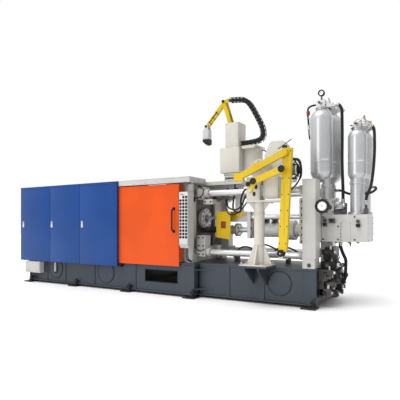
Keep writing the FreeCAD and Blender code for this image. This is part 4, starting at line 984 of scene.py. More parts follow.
def dial_gauge(name, centre, radius):
    """A gauge face: bezel, white dial, graduations and pointer."""
    x, front, z = centre
    bezel = [(0.90, -0.004), (1.02, -0.004), (1.04, 0.004), (1.02, 0.012), (0.92, 0.012),
             (0.66, 0.004), (0.64, 0.0), (0.90, -0.004)]
    parts = [(turned([(radius * out, along) for out, along in bezel], centre, "-y", 48), 0),
             (drum(centre, "-y", 0.002, radius * 0.66, edge=0.0005, steps=48), 1),
             (drum((x, front - 0.002, z), "-y", 0.004, radius * 0.07, edge=0.0005, steps=20), 2)]
    place = Matrix.Translation(centre)
    for mark in range(31):
        start = 0.54 if mark % 5 else 0.50
        line = block((-0.0007, -0.0024, radius * start), (0.0007, -0.0018, radius * 0.60), edge=0.0)
        line.transform(place @ Matrix.Rotation(math.radians(9 * mark - 135), 4, "Y"))
        parts.append((line, 0))
    needle = block((-0.0016, -0.0042, -radius * 0.14), (0.0016, -0.0030, radius * 0.50), edge=0.0005)
    needle.transform(place @ Matrix.Rotation(math.radians(-52), 4, "Y"))
    parts.append((needle, 2))
    piece(name, "machine", "rubber_black", parts, ("handle_black", "dial_white", "button_red"))


def gauge_faces():
    """Both dials, and the nuts on their stems."""
    dial_gauge("manifold_gauge_face", (4.038, -0.665, 1.428), 0.094)
    x, y = TALL_BOTTLES[0]
    dial_gauge("bottle_gauge_face", (x, y - 0.022, 3.119), 0.046)
    parts = [hexagon((x, y, 3.007), "z", 0.034, 0.020), hexagon((x, y, 3.055), "z", 0.028, 0.016)]
    parts += nuts(grid(4.038, (-0.606, -0.440, -0.290), 1.428), "y", 0.036, 0.020, 0)
    piece("gauge_nuts", "machine", "nut_steel", parts)


def name_band(x, y, low, radius):
    """A thin blank band on the front of a bottle."""
    band = bmesh.new()
    angle = math.radians(40)
    start = band.verts.new((radius + 0.0012, 0.0, 0.0))
    end = band.verts.new((radius + 0.0012, 0.0, 0.026))
    edge = band.edges.new((start, end))
    bmesh.ops.spin(band, geom=[start, end, edge], cent=(0, 0, 0), axis=(0, 0, 1), angle=angle, steps=14)
    bmesh.ops.solidify(band, geom=band.faces[:], thickness=-0.0012)
    bmesh.ops.recalc_face_normals(band, faces=band.faces)
    turn = Matrix.Rotation(math.radians(-59) - angle / 2, 4, "Z")
    band.transform(Matrix.Translation((x, y, low)) @ turn)
    return band


def bottle_details():
    """Weld seams, blank name bands, neck flanges and base rings of the four bottles."""
    parts = []
    rows = [(place, TALL_RADIUS, 2.092, TALL_TOP) for place in TALL_BOTTLES]
    rows += [(place, SHORT_RADIUS, 2.052, SHORT_TOP) for place in SHORT_BOTTLES]
    for (x, y), radius, seam, top in rows:
        inner = radius - 0.004
        parts.append((hoop((x, y, seam - 0.007), "z", 0.014, radius + 0.003, inner, 0.002, 64), 0))
        parts.append((hoop((x, y, top - radius * 1.04), "z", 0.008, radius + 0.0015, inner, 0.001, 64), 0))
        parts.append((name_band(x, y, seam + 0.012, radius), 1))
    for x, y in SHORT_BOTTLES:
        parts.append((hoop((x, y, 1.320), "z", 0.030, 0.128, 0.097, 0.004), 0))
        parts.append((hoop((x, y, 1.752), "z", 0.040, 0.110, 0.097, 0.006), 0))
        parts += bolts(circle((x, y, 1.350), "z", 8, 0.113, 0.4), "z", 0.016, 2)
    for x, y, low in ((3.975, -0.180, 1.545), (3.955, 0.185, 1.320)):
        parts.append((hoop((x, y, low), "z", 0.026, 0.086, 0.061, 0.004), 0))
        parts.append((hoop((x, y, 1.720), "z", 0.050, 0.072, 0.061, 0.006), 0))
        parts += bolts(circle((x, y, low + 0.026), "z", 6, 0.074, 0.4), "z", 0.014, 2)
    piece("bottle_bands", "machine", "bottle_silver", parts,
          ("bottle_silver", "panel_white", "nut_steel"))


def bottle_head(x, y, top, half, height, reach):
    """Fittings on one bottle head: collar ring, screws, side valve and plugs."""
    low = top + 0.020
    middle = low + height * 0.5
    front = y - half + 0.007
    valve = x + half + 0.045
    return [
        (hoop((x, y, top - 0.004), "z", 0.012, 0.094, 0.060, 0.003), 0),
        (hexagon((x, y, top + 0.010), "z", 0.150, 0.014), 0),
        *screws(grid((x - half * 0.7, x + half * 0.7), (y - half * 0.6, y + half * 0.6), low + height),
                "z", 0.008),
        (hexagon((x + reach - 0.004, y, low + 0.017), "x", 0.040, 0.018), 0),
        (hexagon((x + half, y, low + 0.017), "x", 0.052, 0.016), 0),
        (hexagon((x - 0.01, front, low + height * 0.55), "-y", 0.030, 0.014), 0),
        (stepped_stub((x - 0.01, front - 0.010, low + height * 0.55), "-y", 0.010, 0.018,
                      (0.03, 0.034, 0.046)), 1),
        (block((valve - 0.022, y - 0.022, low + 0.030), (valve + 0.022, y + 0.022, low + 0.085),
               edge=0.004), 0),
        (drum((valve, y, low + 0.085), "z", 0.030, 0.012), 0),
        (block((valve - 0.004, y - 0.045, low + 0.112), (valve + 0.004, y + 0.045, low + 0.119)), 1),
        (hexagon((x - half, y, middle), "-x", 0.034, 0.016), 0),
        (drum((x - half - 0.014, y, middle), "-x", 0.030, 0.010), 1)]


def head_details():
    """The four bottle heads, with brass valves and a small pipe on the first short one."""
    parts = []
    for x, y in TALL_BOTTLES:
        parts += bottle_head(x, y, TALL_TOP, 0.062, 0.100, 0.190)
    for x, y in SHORT_BOTTLES:
        parts += bottle_head(x, y, SHORT_TOP, 0.055, 0.070, 0.150)
    x, y = SHORT_BOTTLES[0]
    stem = [(0.0, 0.0), (0.009, 0.0), (0.009, 0.02), (0.016, 0.024), (0.016, 0.040), (0.007, 0.044),
            (0.007, 0.058), (0.0, 0.06)]
    for dx, dz, axis in ((0.085, 0.075, "-y"), (0.125, 0.10, "z"), (0.165, 0.055, "x"),
                         (0.188, 0.01, "-y")):
        parts.append((turned(stem, (x + dx - 0.03, y - 0.02, 2.575 + dz), axis, 20), 2))
    parts.append((tube([(x - 0.02, y - 0.06, 2.66), (x + 0.05, y - 0.09, 2.68),
                        (x + 0.12, y - 0.07, 2.66), (x + 0.15, y - 0.03, 2.63)], 0.006), 0))
    piece("bottle_head_fittings", "machine", "nut_steel", parts, ("nut_steel", "dark_steel", "brass"))


def charging_line():
    """Thin charging hose with its red shut-off valve, left of the tall bottle."""
    x, y = TALL_BOTTLES[0]
    left = x - TALL_RADIUS - 0.022
    line = [(x - 0.092, y, 2.957), (x - 0.130, y - 0.004, 2.957), (left - 0.004, y - 0.012, 2.935),
            (left - 0.020, y - 0.02, 2.88), (left - 0.016, y - 0.02, 2.80),
            (left - 0.004, y - 0.02, 2.70), (left, y - 0.02, 2.62)]
    tail = [(left, y - 0.02, 2.61), (left + 0.002, y - 0.02, 2.52), (left + 0.010, y - 0.01, 2.45)]
    parts = [(tube(line, 0.014), 0),
             (block((left - 0.028, y - 0.044, 2.815), (left + 0.012, y + 0.004, 2.875), edge=0.004), 1),
             (drum((left - 0.01, y - 0.044, 2.845), "-y", 0.022, 0.016), 1),
             (block((left - 0.022, y - 0.038, 2.60), (left + 0.012, y - 0.002, 2.66), edge=0.003), 2),
             (tube(tail, 0.010), 0)]
    for z in (2.64, 2.76):
        parts.append((hoop((left - 0.004, y - 0.02, z), "z", 0.016, 0.020, 0.013, 0.002, 20), 2))
    piece("charging_line", "machine", "rubber_black", parts, ("rubber_black", "blank_red", "nut_steel"))


def manifold_details():
    """Cover screws, side bolts, top flanges, plugs, cable connectors and drain fittings."""
    front = -0.286
    parts = screws(grid((4.225, 4.322), front, (0.955, 1.195)), "-y", 0.005, 0)
    parts += screws([(4.204, front, 0.9575 + 0.046 * step) for step in range(6)], "-y", 0.006)
    parts += screws(grid(4.560, (-0.235, 0.155), (0.96, 1.04, 1.12, 1.20, 1.28)), "x", 0.008, 0)
    parts += screws([(x, -0.280, z) for x, z in ((3.955, 0.965), (3.955, 1.285), (4.165, 0.965),
                                                 (4.390, 0.965), (4.390, 1.285), (4.165, 1.150))],
                    "-y", 0.011)
    parts += nuts(grid((4.02, 4.12, 4.30, 4.42), -0.200, 0.930), "-z", 0.036, 0.020)
    parts.append((stepped_stub((4.30, -0.120, 0.930), "-z", 0.014, 0.008, (0.04, 0.05, 0.07)), 1))
    for x, z in ((3.985, 1.238), (4.440, 1.222)):
        parts.append((drum((x, -0.310, z), "-y", 0.016, 0.024), 1))
    parts += screws(grid((4.000, 4.085), -0.250, (1.510, 1.360)), "-y", 0.010)
    parts += [(block((4.120, -0.300, 1.400), (4.225, -0.190, 1.500), edge=0.006), 0),
              (drum((4.172, -0.300, 1.450), "-y", 0.040, 0.028), 0),
              (hexagon((4.172, -0.335, 1.450), "-y", 0.034, 0.016), 0),
              (drum((4.150, -0.245, 1.500), "z", 0.060, 0.018), 0),
              (hexagon((4.150, -0.245, 1.530), "z", 0.046, 0.020), 0),
              (hexagon((4.225, -0.245, 1.450), "x", 0.050, 0.024), 0)]
    parts += screws(grid((4.135, 4.210), -0.300, (1.415, 1.485)), "-y", 0.008)
    piece("manifold_screws", "machine", "nut_steel", parts, ("nut_steel", "dark_steel", "brass"))

    leads = []
    for x, z in ((3.985, 1.185), (4.085, 1.238), (4.440, 1.170)):
        leads.append(block((x - 0.020, -0.366, z - 0.018), (x + 0.020, -0.322, z + 0.018), edge=0.003))
        leads.append(hexagon((x, -0.344, z - 0.018), "-z", 0.016, 0.012))
    piece("valve_plugs", "machine", "rubber_black", leads)


def hose_fittings():
    """Crimped ferrules and swivel nuts at the ends of the pressure hoses."""
    ends = [((4.095, -0.180, 2.920), "x", 0.022), ((4.190, -0.080, 1.490), "z", 0.022),
            ((4.545, -0.100, 2.572), "x", 0.020), ((4.530, -0.215, 1.450), "z", 0.020),
            ((4.150, -0.060, 0.930), "-z", 0.024), ((4.0173, 0.185, 1.700), "x", 0.018),
            ((4.5283, 0.190, 1.730), "x", 0.018)]
    parts = []
    for place, axis, radius in ends:
        parts.append(hexagon(place, axis, radius * 2.5, 0.020))
        grip = [(0.7, 0.018), (1.22, 0.018)]
        for along in (0.022, 0.032, 0.042, 0.052):
            grip += [(1.24, along), (1.24, along + 0.006), (1.14, along + 0.008)]
        grip += [(1.02, 0.064), (0.7, 0.064), (0.7, 0.018)]
        parts.append(turned([(radius * out, along) for out, along in grip], place, axis, 24))
    piece("hose_ferrules", "machine", "nut_steel", parts)


def bed_end_details():
    """Valves, fittings, small pipes and hoses of the crowded hydraulics on the bed's end."""
    x0 = 3.945
    parts = []
    valves = ((-0.42, 0.22, 0.050), (-0.30, 0.44, 0.042), (-0.18, 0.18, 0.045), (-0.02, 0.26, 0.040),
              (0.02, 0.50, 0.045), (0.22, 0.46, 0.040), (0.26, 0.16, 0.036), (0.40, 0.34, 0.042),
              (-0.42, 0.50, 0.036), (-0.33, 0.60, 0.050), (-0.20, 0.70, 0.042), (-0.30, 0.78, 0.036))
    for row, (y, z, size) in enumerate(valves):
        reach = (0.16, 0.13, 0.19, 0.22, 0.20, 0.17)[row % 6]
        top = x0 + reach * 0.7
        parts += [(block((x0, y - size, z - size), (x0 + reach, y + size, z + size), edge=0.005), row % 2),
                  (hexagon((x0 + reach, y, z), "x", size * 1.1, 0.022), 2),
                  (drum((top, y, z + size), "z", 0.050, size * 0.42), 2),
                  (hexagon((top, y, z + size + 0.045), "z", size * 0.9, 0.016), 2),
                  (drum((x0 + reach * 0.45, y - size, z), "-y", 0.040, size * 0.5), (row + 1) % 2)]
    motor = [(0.0, 0.0), (0.040, 0.0), (0.044, 0.01), (0.044, 0.09), (0.036, 0.11), (0.020, 0.115),
             (0.020, 0.13), (0.0, 0.132)]
    for y, z in ((-0.36, 0.33), (-0.12, 0.34), (0.14, 0.36), (0.34, 0.28)):
        parts.append((turned(motor, (x0 + 0.07, y, z), "x", 28), 0))
    piece("bed_end_valves", "machine", "dark_steel", parts, ("dark_steel", "rubber_black", "nut_steel"))

    pipes = []
    runs = (((-0.40, 0.54), (-0.46, 0.66), (-0.42, 0.80)), ((-0.26, 0.52), (-0.30, 0.62), (-0.24, 0.74)),
            ((-0.30, 0.24), (-0.38, 0.16), (-0.44, 0.26)), ((0.06, 0.56), (0.20, 0.60), (0.24, 0.50)),
            ((-0.10, 0.22), (0.02, 0.14), (0.10, 0.20)), ((-0.06, 0.50), (-0.14, 0.58), (-0.20, 0.66)))
    for step, (first, middle, last) in enumerate(runs):
        near, out = x0 + 0.06, x0 + 0.17 + 0.02 * (step % 3)
        points = [(near, *first), (out, *first), (out + 0.03, *middle), (out, *last), (near, *last)]
        pipes.append((tube(points, 0.013 if step % 2 else 0.016), step % 2))
    piece("bed_end_pipes", "machine", "rubber_black", pipes, ("rubber_black", "dark_steel"))


# ---- ladler

def pivot_cap(x, y, z, radius, thick):
    """Black pivot cap with a dished middle and a retaining screw."""
    profile = [(0.0, 0.9), (0.24, 0.9), (0.28, 0.6), (0.66, 0.6), (0.74, 1.0), (0.92, 1.0),
               (1.0, 0.75), (1.0, 0.0), (0.0, 0.0)]
    return turned([(radius * out, thick * along) for out, along in profile], (x, y, z), "-y", 40)


def ladler_details():
    """Pivot caps, crank bolts, beam bolts, tail plate and sensor rod of the ladler."""
    face = -1.066
    x, z = LOWER_ROOT
    piece("ladler_root_cap", "machine", "handle_black", [pivot_cap(x, face, z, 0.046, 0.014)])
    lower = [(pivot_cap(LOWER_TIP[0], face, LOWER_TIP[1], 0.048, 0.014), 0),
             (pivot_cap(x - 0.078, face + 0.012, z - 0.036, 0.034, 0.018), 0),
             (bolt((x - 0.058, face + 0.020, z - 0.122), "-y", 0.026), 1)]
    along = math.atan2(LOWER_TIP[1] - z, LOWER_TIP[0] - x)
    for share, side in itertools.product((0.24, 0.76), (-0.028, 0.028)):
        px, pz = along_arm(LOWER_ROOT, LOWER_TIP, share)
        lower += screws([(px - math.sin(along) * side, face, pz + math.cos(along) * side)], "-y", 0.006)
    piece("lower_arm_caps", "ladler_lower_arm", "handle_black", lower, ("handle_black", "nut_steel"))

    finishes = ("handle_black", "nut_steel", "arm_yellow")
    upper = [(pivot_cap(UPPER_ROOT[0], -1.000, UPPER_ROOT[1], 0.034, 0.004), 2),
             (block((2.860, -0.996, 1.806), (2.868, -0.946, 1.912), edge=0.003), 2)]
    upper += screws([(px, -0.994, pz) for px, pz in ((2.884, 1.820), (2.884, 1.898), (2.992, 1.820))],
                    "-y", 0.007)
    piece("upper_arm_caps", "ladler_upper_arm", "arm_yellow", upper, finishes)

    beam = [(pivot_cap(UPPER_TIP[0], -1.000, UPPER_TIP[1], 0.034, 0.004), 2),
            (tube([(3.500, -0.905, 2.222), (3.580, -0.905, 2.270), (3.690, -0.905, 2.338)], 0.006, True), 0),
            (block((3.565, -0.925, 2.222), (3.625, -0.885, 2.262), edge=0.003), 0),
            (block((3.585, -0.9365, 1.02), (3.602, -0.934, 1.74), edge=0.001), 2)]
    for share in (0.03, 0.30, 0.46, 0.62, 0.78, 0.95):
        px, pz = along_arm((3.642, 2.217), (3.570, 0.850), share)
        beam += bolts(grid((px - 0.046, px + 0.046), -0.934, pz), "-y", 0.010, 0)
    piece("beam_bolts", "ladler_forearm", "arm_yellow", beam, finishes)

    x, z = TILT_AXIS
    drive = [(drum((x, -0.934, z), "-y", 0.006, 0.044), 0),
             (hoop((x, -0.900, z), "-y", 0.020, 0.048, 0.040, 0.003), 0)]
    drive += screws(circle((x, -0.866, z), "y", 6, 0.036, 0.5), "y", 0.005)
    piece("tilt_drive_rings", "ladler_forearm", "foot_black", drive, ("handle_black", "nut_steel"))
    hub = [(pivot_cap(x, -0.956, z, 0.046, 0.012), 0), (bolt((x, -0.962, z), "-y", 0.016), 1)]
    piece("ladle_hub_cap", "ladle_bracket", "beige", hub, ("handle_black", "nut_steel"))


def ladler_post_details():
    """Base bolts, collar and flange bolts of the post."""
    parts = [(block((2.920, -0.950, 0.581), (3.336, -0.570, 0.600), edge=0.004), 0),
             (hoop((3.155, -0.750, 0.875), "z", 0.016, 0.083, 0.0755, 0.003), 0),
             (hoop((3.155, -0.750, 1.330), "z", 0.022, 0.084, 0.0755, 0.004), 0)]
    parts += bolts(grid((2.950, 3.306), (-0.925, -0.750, -0.595), 0.600), "z", 0.032, stud=0.02)
    parts += bolts(grid((3.010, 3.085, 3.225, 3.300), (-0.830, -0.620), 1.500), "-z", 0.022)
    piece("post_bolts", "machine", "beige", parts, ("beige", "nut_steel"))


def ladler_housing_details():
    """Cover plates, cable glands, motor fins and terminal boxes of the ladler's drive."""
    x, z = SWING_DRIVE
    parts = blocks((((3.010, -0.854, 1.545), (3.185, -0.848, 1.845)),
                    ((3.252, -0.804, 1.575), (3.442, -0.798, 1.838))), 0.003)
    parts += screws(grid((3.020, 3.175), -0.854, (1.555, 1.695, 1.835)), "-y", 0.006)
    parts += screws(grid((3.262, 3.432), -0.804, (1.585, 1.828)), "-y", 0.006)
    parts.append((hoop((x, -0.850, z), "-y", 0.005, 0.104, 0.074, 0.002), 0))
    parts += screws(circle((x, -0.855, z), "y", 10, 0.089, 0.35), "-y", 0.006)
    for px, pz in ((3.120, 1.62), (3.150, 1.72)):
        parts.append((block((px - 0.018, -0.874, pz - 0.025), (px + 0.018, -0.852, pz + 0.025),
                            edge=0.003), 2))
        parts.append((hexagon((px, -0.863, pz - 0.025), "-z", 0.018, 0.012), 2))
    for step in range(11):
        parts.append((hoop((3.530 + step * 0.0115, -0.565, 1.960), "x", 0.004, 0.086, 0.077, 0.001), 2))
    parts.append((drum((3.668, -0.565, 1.960), "x", 0.014, 0.070), 2))
    parts += nuts(grid(3.570, -0.570, (1.80, 1.84)), "x", 0.024, 0.016, 2)
    for y in (-0.62, -0.52):
        parts.append((stepped_stub((3.585, y, 2.110), "x", 0.018, 0.012, (0.03, 0.036, 0.06)), 2))
    leads = [([(3.585, -0.60, 2.085), (3.64, -0.61, 2.08), (3.69, -0.62, 2.03), (3.70, -0.61, 1.94),
               (3.66, -0.60, 1.85), (3.585, -0.60, 1.83)], 0.010),
             ([(3.585, -0.54, 2.13), (3.66, -0.53, 2.14), (3.71, -0.54, 2.07), (3.71, -0.55, 1.96),
               (3.67, -0.56, 1.88), (3.60, -0.56, 1.82)], 0.008)]
    for offset in (0.0, 0.022, 0.044):
        leads.append(([(3.585, -0.62 + offset, 2.12), (3.66 + offset, -0.62 + offset, 2.12),
                       (3.73, -0.62 + offset, 2.02 - offset), (3.72, -0.60 + offset, 1.86),
                       (3.66, -0.59 + offset, 1.74 + offset), (3.585, -0.58 + offset, 1.70),
                       (3.500, -0.56 + offset, 1.62)], 0.009))
    parts += [(tube(line, radius), 2) for line, radius in leads]
    parts += screws([(px, -0.660, pz) for px, pz in ((3.22, 1.90), (3.50, 1.90), (3.22, 2.18),
                                                     (3.50, 2.32), (3.31, 2.36))], "-y", 0.006)
    for step, (py, pz, reach) in enumerate(((-0.60, 2.07, 0.060), (-0.55, 2.03, 0.085),
                                            (-0.62, 1.80, 0.070), (-0.52, 1.84, 0.050),
                                            (-0.58, 1.87, 0.095))):
        parts.append((block((3.580, py - 0.022, pz - 0.020), (3.580 + reach, py + 0.022, pz + 0.020),
                            edge=0.003), 1 + step % 2))
        parts.append((hexagon((3.580 + reach, py, pz), "x", 0.026, 0.016), 1))
    piece("ladler_drive_covers", "machine", "beige", parts, ("beige", "nut_steel", "rubber_black"))


# ---- sprayer

def sprayer_details():
    """Seams, screws and bearing rings of the sprayer's boxes."""
    x, y = SPRAYER_AXIS
    parts = blocks((((2.268, -0.283, 2.041), (2.594, -0.278, 2.429)),
                    ((2.362, -0.279, 2.452), (2.579, -0.274, 2.838)),
                    ((2.603, -0.268, 2.041), (2.608, -0.120, 2.429)),
                    ((2.586, -0.264, 2.475), (2.591, -0.006, 2.838)),
                    ((2.640, -0.252, 2.405), (2.860, -0.215, 2.440))), 0.003)
    parts += screws(grid((2.280, 2.582), -0.283, (2.054, 2.235, 2.416)), "-y", 0.005)
    parts += screws(grid((2.374, 2.567), -0.279, (2.466, 2.645, 2.824)), "-y", 0.005)
    for low, radius, finish in ((1.900, 0.172, 0), (1.930, 0.160, 2), (1.960, 0.166, 0), (1.998, 0.176, 0)):
        parts.append((hoop((x, y, low), "z", 0.020, radius, 0.148, 0.003, 48), finish))
    parts += bolts(circle((x, y, 1.920), "z", 10, 0.161), "z", 0.014)
    for low in (2.150, 2.340):
        parts.append((hoop((2.720, 0.040, low), "z", 0.008, 0.1535, 0.148, 0.002, 48), 0))
    piece("sprayer_box_covers", "machine", "beige", parts, ("beige", "nut_steel", "dark_steel"))


def along_arm(start, end, share):
    return (start[0] + (end[0] - start[0]) * share, start[1] + (end[1] - start[1]) * share)


def arm_block(start, end, near, far, half, y):
    """A bar along an arm between two shares of its length."""
    length = math.dist(start, end)
    part = block((length * near, y[0], -half), (length * far, y[1], half))
    turn = Matrix.Rotation(-math.atan2(end[1] - start[1], end[0] - start[0]), 4, "Y")
    part.transform(Matrix.Translation((start[0], 0.0, start[1])) @ turn)
    return part


def arm_screws(start, end, shares, y):
    places = [along_arm(start, end, share) for share in shares]
    return screws([(x, y, z) for x, z in places], "-y", 0.006)


def spray_arm_details():
    """Joint caps, cable duct and small hoses of the folding spray arm."""
    lower = [(arm_block(SHOULDER, ELBOW, 0.16, 0.54, 0.015, (-0.162, -0.098)), 0),
             (pivot_cap(ELBOW[0], -0.200, ELBOW[1], 0.026, 0.010), 0),
             (block((2.300, -0.204, 3.214), (2.372, -0.194, 3.262), edge=0.003), 2),
             (tube([(2.386, -0.150, 3.262), (2.345, -0.145, 3.292), (2.300, -0.135, 3.282),
                    (2.280, -0.130, 3.262)], 0.008), 0)]
    lower += arm_screws(SHOULDER, ELBOW, (0.12, 0.45, 0.84), -0.192)
    lower += screws(grid((2.312, 2.358), -0.204, 3.238), "-y", 0.006)
    piece("lower_spray_arm_caps", "spray_lower_arm", "arm_yellow", lower,
          ("handle_black", "nut_steel", "arm_yellow"))

    upper = [(arm_block(ELBOW, WRIST, 0.38, 0.84, 0.006, (-0.168, -0.159)), 0)]
    for share in (0.42, 0.62, 0.82):
        upper.append((arm_block(ELBOW, WRIST, share, share + 0.025, 0.033, (-0.1605, -0.0995)), 0))
    upper += arm_screws(ELBOW, WRIST, (0.55, 0.90), -0.159)
    piece("upper_spray_arm_clips", "spray_upper_arm", "arm_yellow", upper, ("handle_black", "nut_steel"))

    x, z = WRIST
    head = [(pivot_cap(x, -0.182, z, 0.022, 0.007), 1),
            (block((x - 0.052, -0.185, 2.662), (x + 0.040, -0.180, 2.800), edge=0.003), 0),
            (block((x + 0.047, -0.172, 2.662), (x + 0.053, -0.088, 2.800), edge=0.003), 0)]
    head += screws(grid((x - 0.044, x + 0.032), -0.185, (2.670, 2.792)), "-y", 0.004, 2)
    piece("spray_head_covers", "spray_head", "head_white", head,
          ("head_white", "handle_black", "nut_steel"))

    tips = [(block((x - 0.030, -0.188, 2.585), (x + 0.056, -0.072, 2.600)), 0)]
    for px, py, _ in grid((x + 0.004, x + 0.030), (-0.168, -0.142, -0.116, -0.090), 2.562):
        tips.append((hexagon((px, py, 2.562), "-z", 0.014, 0.008), 0))
        tips.append((tube([(px, py, 2.558), (px, py, 2.546), (px - 0.006, py, 2.538)], 0.003), 1))
    piece("spray_nozzle_tips", "spray_head", "rubber_black", tips, ("handle_black", "brass"))


def chain_line():
    """Points along the cable chain's centre line."""
    corners = ((2.600, 2.506), (2.890, 2.506), (2.990, 2.585), (2.968, 2.735), (2.868, 2.930),
               (2.768, 3.110), (2.680, 3.205), (2.560, 3.240), (2.395, 3.248))
    mesh = line_mesh([(x, CHAIN_Y, z) for x, z in corners], resolution=40)
    points = [vert.co.copy() for vert in mesh.vertices]
    bpy.data.meshes.remove(mesh)
    return points


def spaced(points, pitch):
    """Places about a pitch apart along a line of points, each with its heading."""
    total = sum((b - a).length for a, b in zip(points, points[1:]))
    count = round(total / pitch)
    step = total / count
    found = []
    walked = 0.0
    want = step / 2
    for first, second in zip(points, points[1:]):
        run = (second - first).length
        while run > 0 and want <= walked + run and len(found) < count:
            found.append((first.lerp(second, (want - walked) / run), (second - first).normalized()))
            want += step
        walked += run
    return found, step


def chain_link(pitch):
    """One open link: framed side plates, a joint boss, two cross bars and a clip."""
    half = 0.038
    link = bmesh.new()
    for way, axis in OUTWARD.items():
        inner, outer = way * 0.034, way * 0.040
        for low, high in ((-half, 0.011 - half), (half - 0.011, half)):
            absorb(link, block((-pitch * 0.56, inner, low), (pitch * 0.52, outer, high)))
        absorb(link, block((-pitch * 0.18, inner, -half), (pitch * 0.10, outer, half), edge=0.003))
        absorb(link, hoop((pitch * 0.48, way * 0.032, 0.0), axis, 0.006, 0.020, 0.009, steps=20))
        absorb(link, block((pitch * 0.08, inner, -0.007), (pitch * 0.30, outer, 0.007)))
    for low, high in ((-half, 0.007 - half), (half - 0.007, half)):
        absorb(link, block((-pitch * 0.16, -0.036, low), (pitch * 0.08, 0.036, high)))
    return link


def cable_chain():
    """Open cable chain with the cables inside it, bending from the shelf to the arm."""
    points = chain_line()
    places, pitch = spaced(points, 0.066)
    parts = []
    for place, heading in places:
        link = chain_link(pitch)
        turn = Matrix.Rotation(-math.atan2(heading.z, heading.x), 4, "Y")
        link.transform(Matrix.Translation(place) @ turn)
        parts.append((link, 0))
    sparse = points[::12] + [points[-1]]
    for dy, shift, radius, finish in ((-0.018, 0.018, 0.011, 1), (0.006, -0.016, 0.013, 1),
                                      (0.020, 0.014, 0.010, 1), (0.0, 0.0, 0.010, 0)):
        line = []
        for index, point in enumerate(sparse):
            ahead = sparse[min(index + 1, len(sparse) - 1)] - sparse[max(index - 1, 0)]
            ahead.normalize()
            line.append((point.x - ahead.z * shift, point.y + dy, point.z + ahead.x * shift))
        parts.append((tube(line, radius), finish))
    made = piece("cable_chain_links", "", "rubber_black", parts,
                 ("rubber_black", "handle_black", "foot_black"), replaces=("cable_chain",))
    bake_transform(made)


# ---- rear side, deck and cables

def rear_details():
    """Screws of the rear covers and a plain pull on the rear guard."""
    parts = screws(grid((-2.13, -1.30, -1.225, -0.48, -0.405, 0.45), 0.840, (0.48, 1.20, 1.915)),
                   "y", 0.007, 0)
    piece("rear_cover_screws", "machine", "nut_steel", parts)
    x = 1.669
    pull = [(tube([(x, 0.780, 1.100), (x, 0.834, 1.100), (x, 0.842, 1.120), (x, 0.842, 1.250),
                   (x, 0.842, 1.380), (x, 0.834, 1.400), (x, 0.780, 1.400)], 0.012), 0)]
    for z in (1.100, 1.400):
        pull.append((hoop((x, 0.780, z), "y", 0.007, 0.024, 0.011), 0))
    pull += screws(grid((0.48, 1.10, 1.74), 0.780, (0.62, 1.80)), "y", 0.007)
    piece("rear_guard_pull", "machine", "handle_black", pull, ("handle_black", "nut_steel"))


def deck_pipes():
    """Dark pipes, brackets and hoses on the deck behind the shot cylinder."""
    parts = []
    for y, z, radius, finish in ((0.150, 0.640, 0.020, 0), (0.205, 0.690, 0.016, 1),
                                 (0.100, 0.720, 0.014, 0)):
        parts.append((tube([(2.200, y, z), (2.900, y, z + 0.012), (3.640, y, z)], radius), finish))
        parts += nuts(grid((2.300, 2.760, 3.220, 3.600), y, z), "x", radius * 3.2, 0.030)
    for x in (2.360, 2.820, 3.280):
        parts.append((block((x - 0.020, 0.080, 0.556), (x + 0.020, 0.240, 0.750), edge=0.004), 1))
    low = 0.690
    for x, reach, rise, y in ((2.330, 0.48, 0.120, 0.150), (2.560, 0.62, 0.170, 0.205),
                              (3.020, 0.50, 0.140, 0.120)):
        parts.append((tube([(x, y, low), (x + reach * 0.15, y - 0.010, low + rise * 0.7),
                            (x + reach * 0.45, y - 0.020, low + rise),
                            (x + reach * 0.80, y - 0.010, low + rise * 0.5), (x + reach, y, low)],
                           0.014), 0))
    piece("deck_pipes", "machine", "rubber_black", parts, ("rubber_black", "dark_steel"))


def hanging_cables():
    """Two more sagging cables beside the ladler's, from the gearbox to the rod bracket."""
    routes = (
        ([(3.000, -0.750, 1.640), (2.930, -0.750, 1.600), (2.880, -0.720, 1.500),
          (2.800, -0.660, 1.430), (2.660, -0.550, 1.400), (2.500, -0.450, 1.440),
          (2.420, -0.360, 1.520), (2.400, -0.300, 1.610)], 0.012),
        ([(3.010, -0.740, 1.600), (2.920, -0.700, 1.480), (2.740, -0.600, 1.350),
          (2.560, -0.500, 1.320), (2.440, -0.400, 1.390), (2.380, -0.320, 1.500),
          (2.370, -0.280, 1.610)], 0.010))
    parts = [(tube(line, radius), 0) for line, radius in routes]
    parts.append((block((2.350, -0.320, 1.600), (2.430, -0.260, 1.640), edge=0.004), 1))
    piece("hanging_cables", "machine", "rubber_black", parts, ("rubber_black", "dark_steel"))


def cylinder_valves():
    """Two small dark valves with solenoids on top of the shot cylinder."""
    top = SHOT_AXIS_Z + 0.108
    parts = []
    for x in (2.960, 3.110):
        parts += [(block((x - 0.045, -0.050, top), (x + 0.045, 0.050, top + 0.070), edge=0.004), 0),
                  (drum((x, -0.050, top + 0.040), "-y", 0.090, 0.022), 1),
                  (hexagon((x, -0.138, top + 0.040), "-y", 0.026, 0.012), 2),
                  (block((x - 0.016, -0.120, top + 0.058), (x + 0.016, -0.080, top + 0.088),
                         edge=0.003), 1)]
    piece("cylinder_valves", "machine", "dark_steel", parts, ("dark_steel", "rubber_black", "nut_steel"))


def rear_junction_box():
    """Grey cable box on the rear edge of the fixed platen."""
    parts = [(block((1.826, 0.605, 1.150), (1.910, 0.700, 1.720), edge=0.004), 0),
             (block((1.909, 0.615, 1.165), (1.914, 0.690, 1.705)), 0)]
    parts += screws(grid(1.914, (0.622, 0.683), (1.175, 1.435, 1.695)), "x", 0.004)
    parts += nuts(grid(1.868, (0.632, 0.672), 1.150), "-z", 0.026, 0.014, 2)
    piece("rear_junction_box", "machine", "light_grey", parts,
          ("light_grey", "nut_steel", "handle_black"))


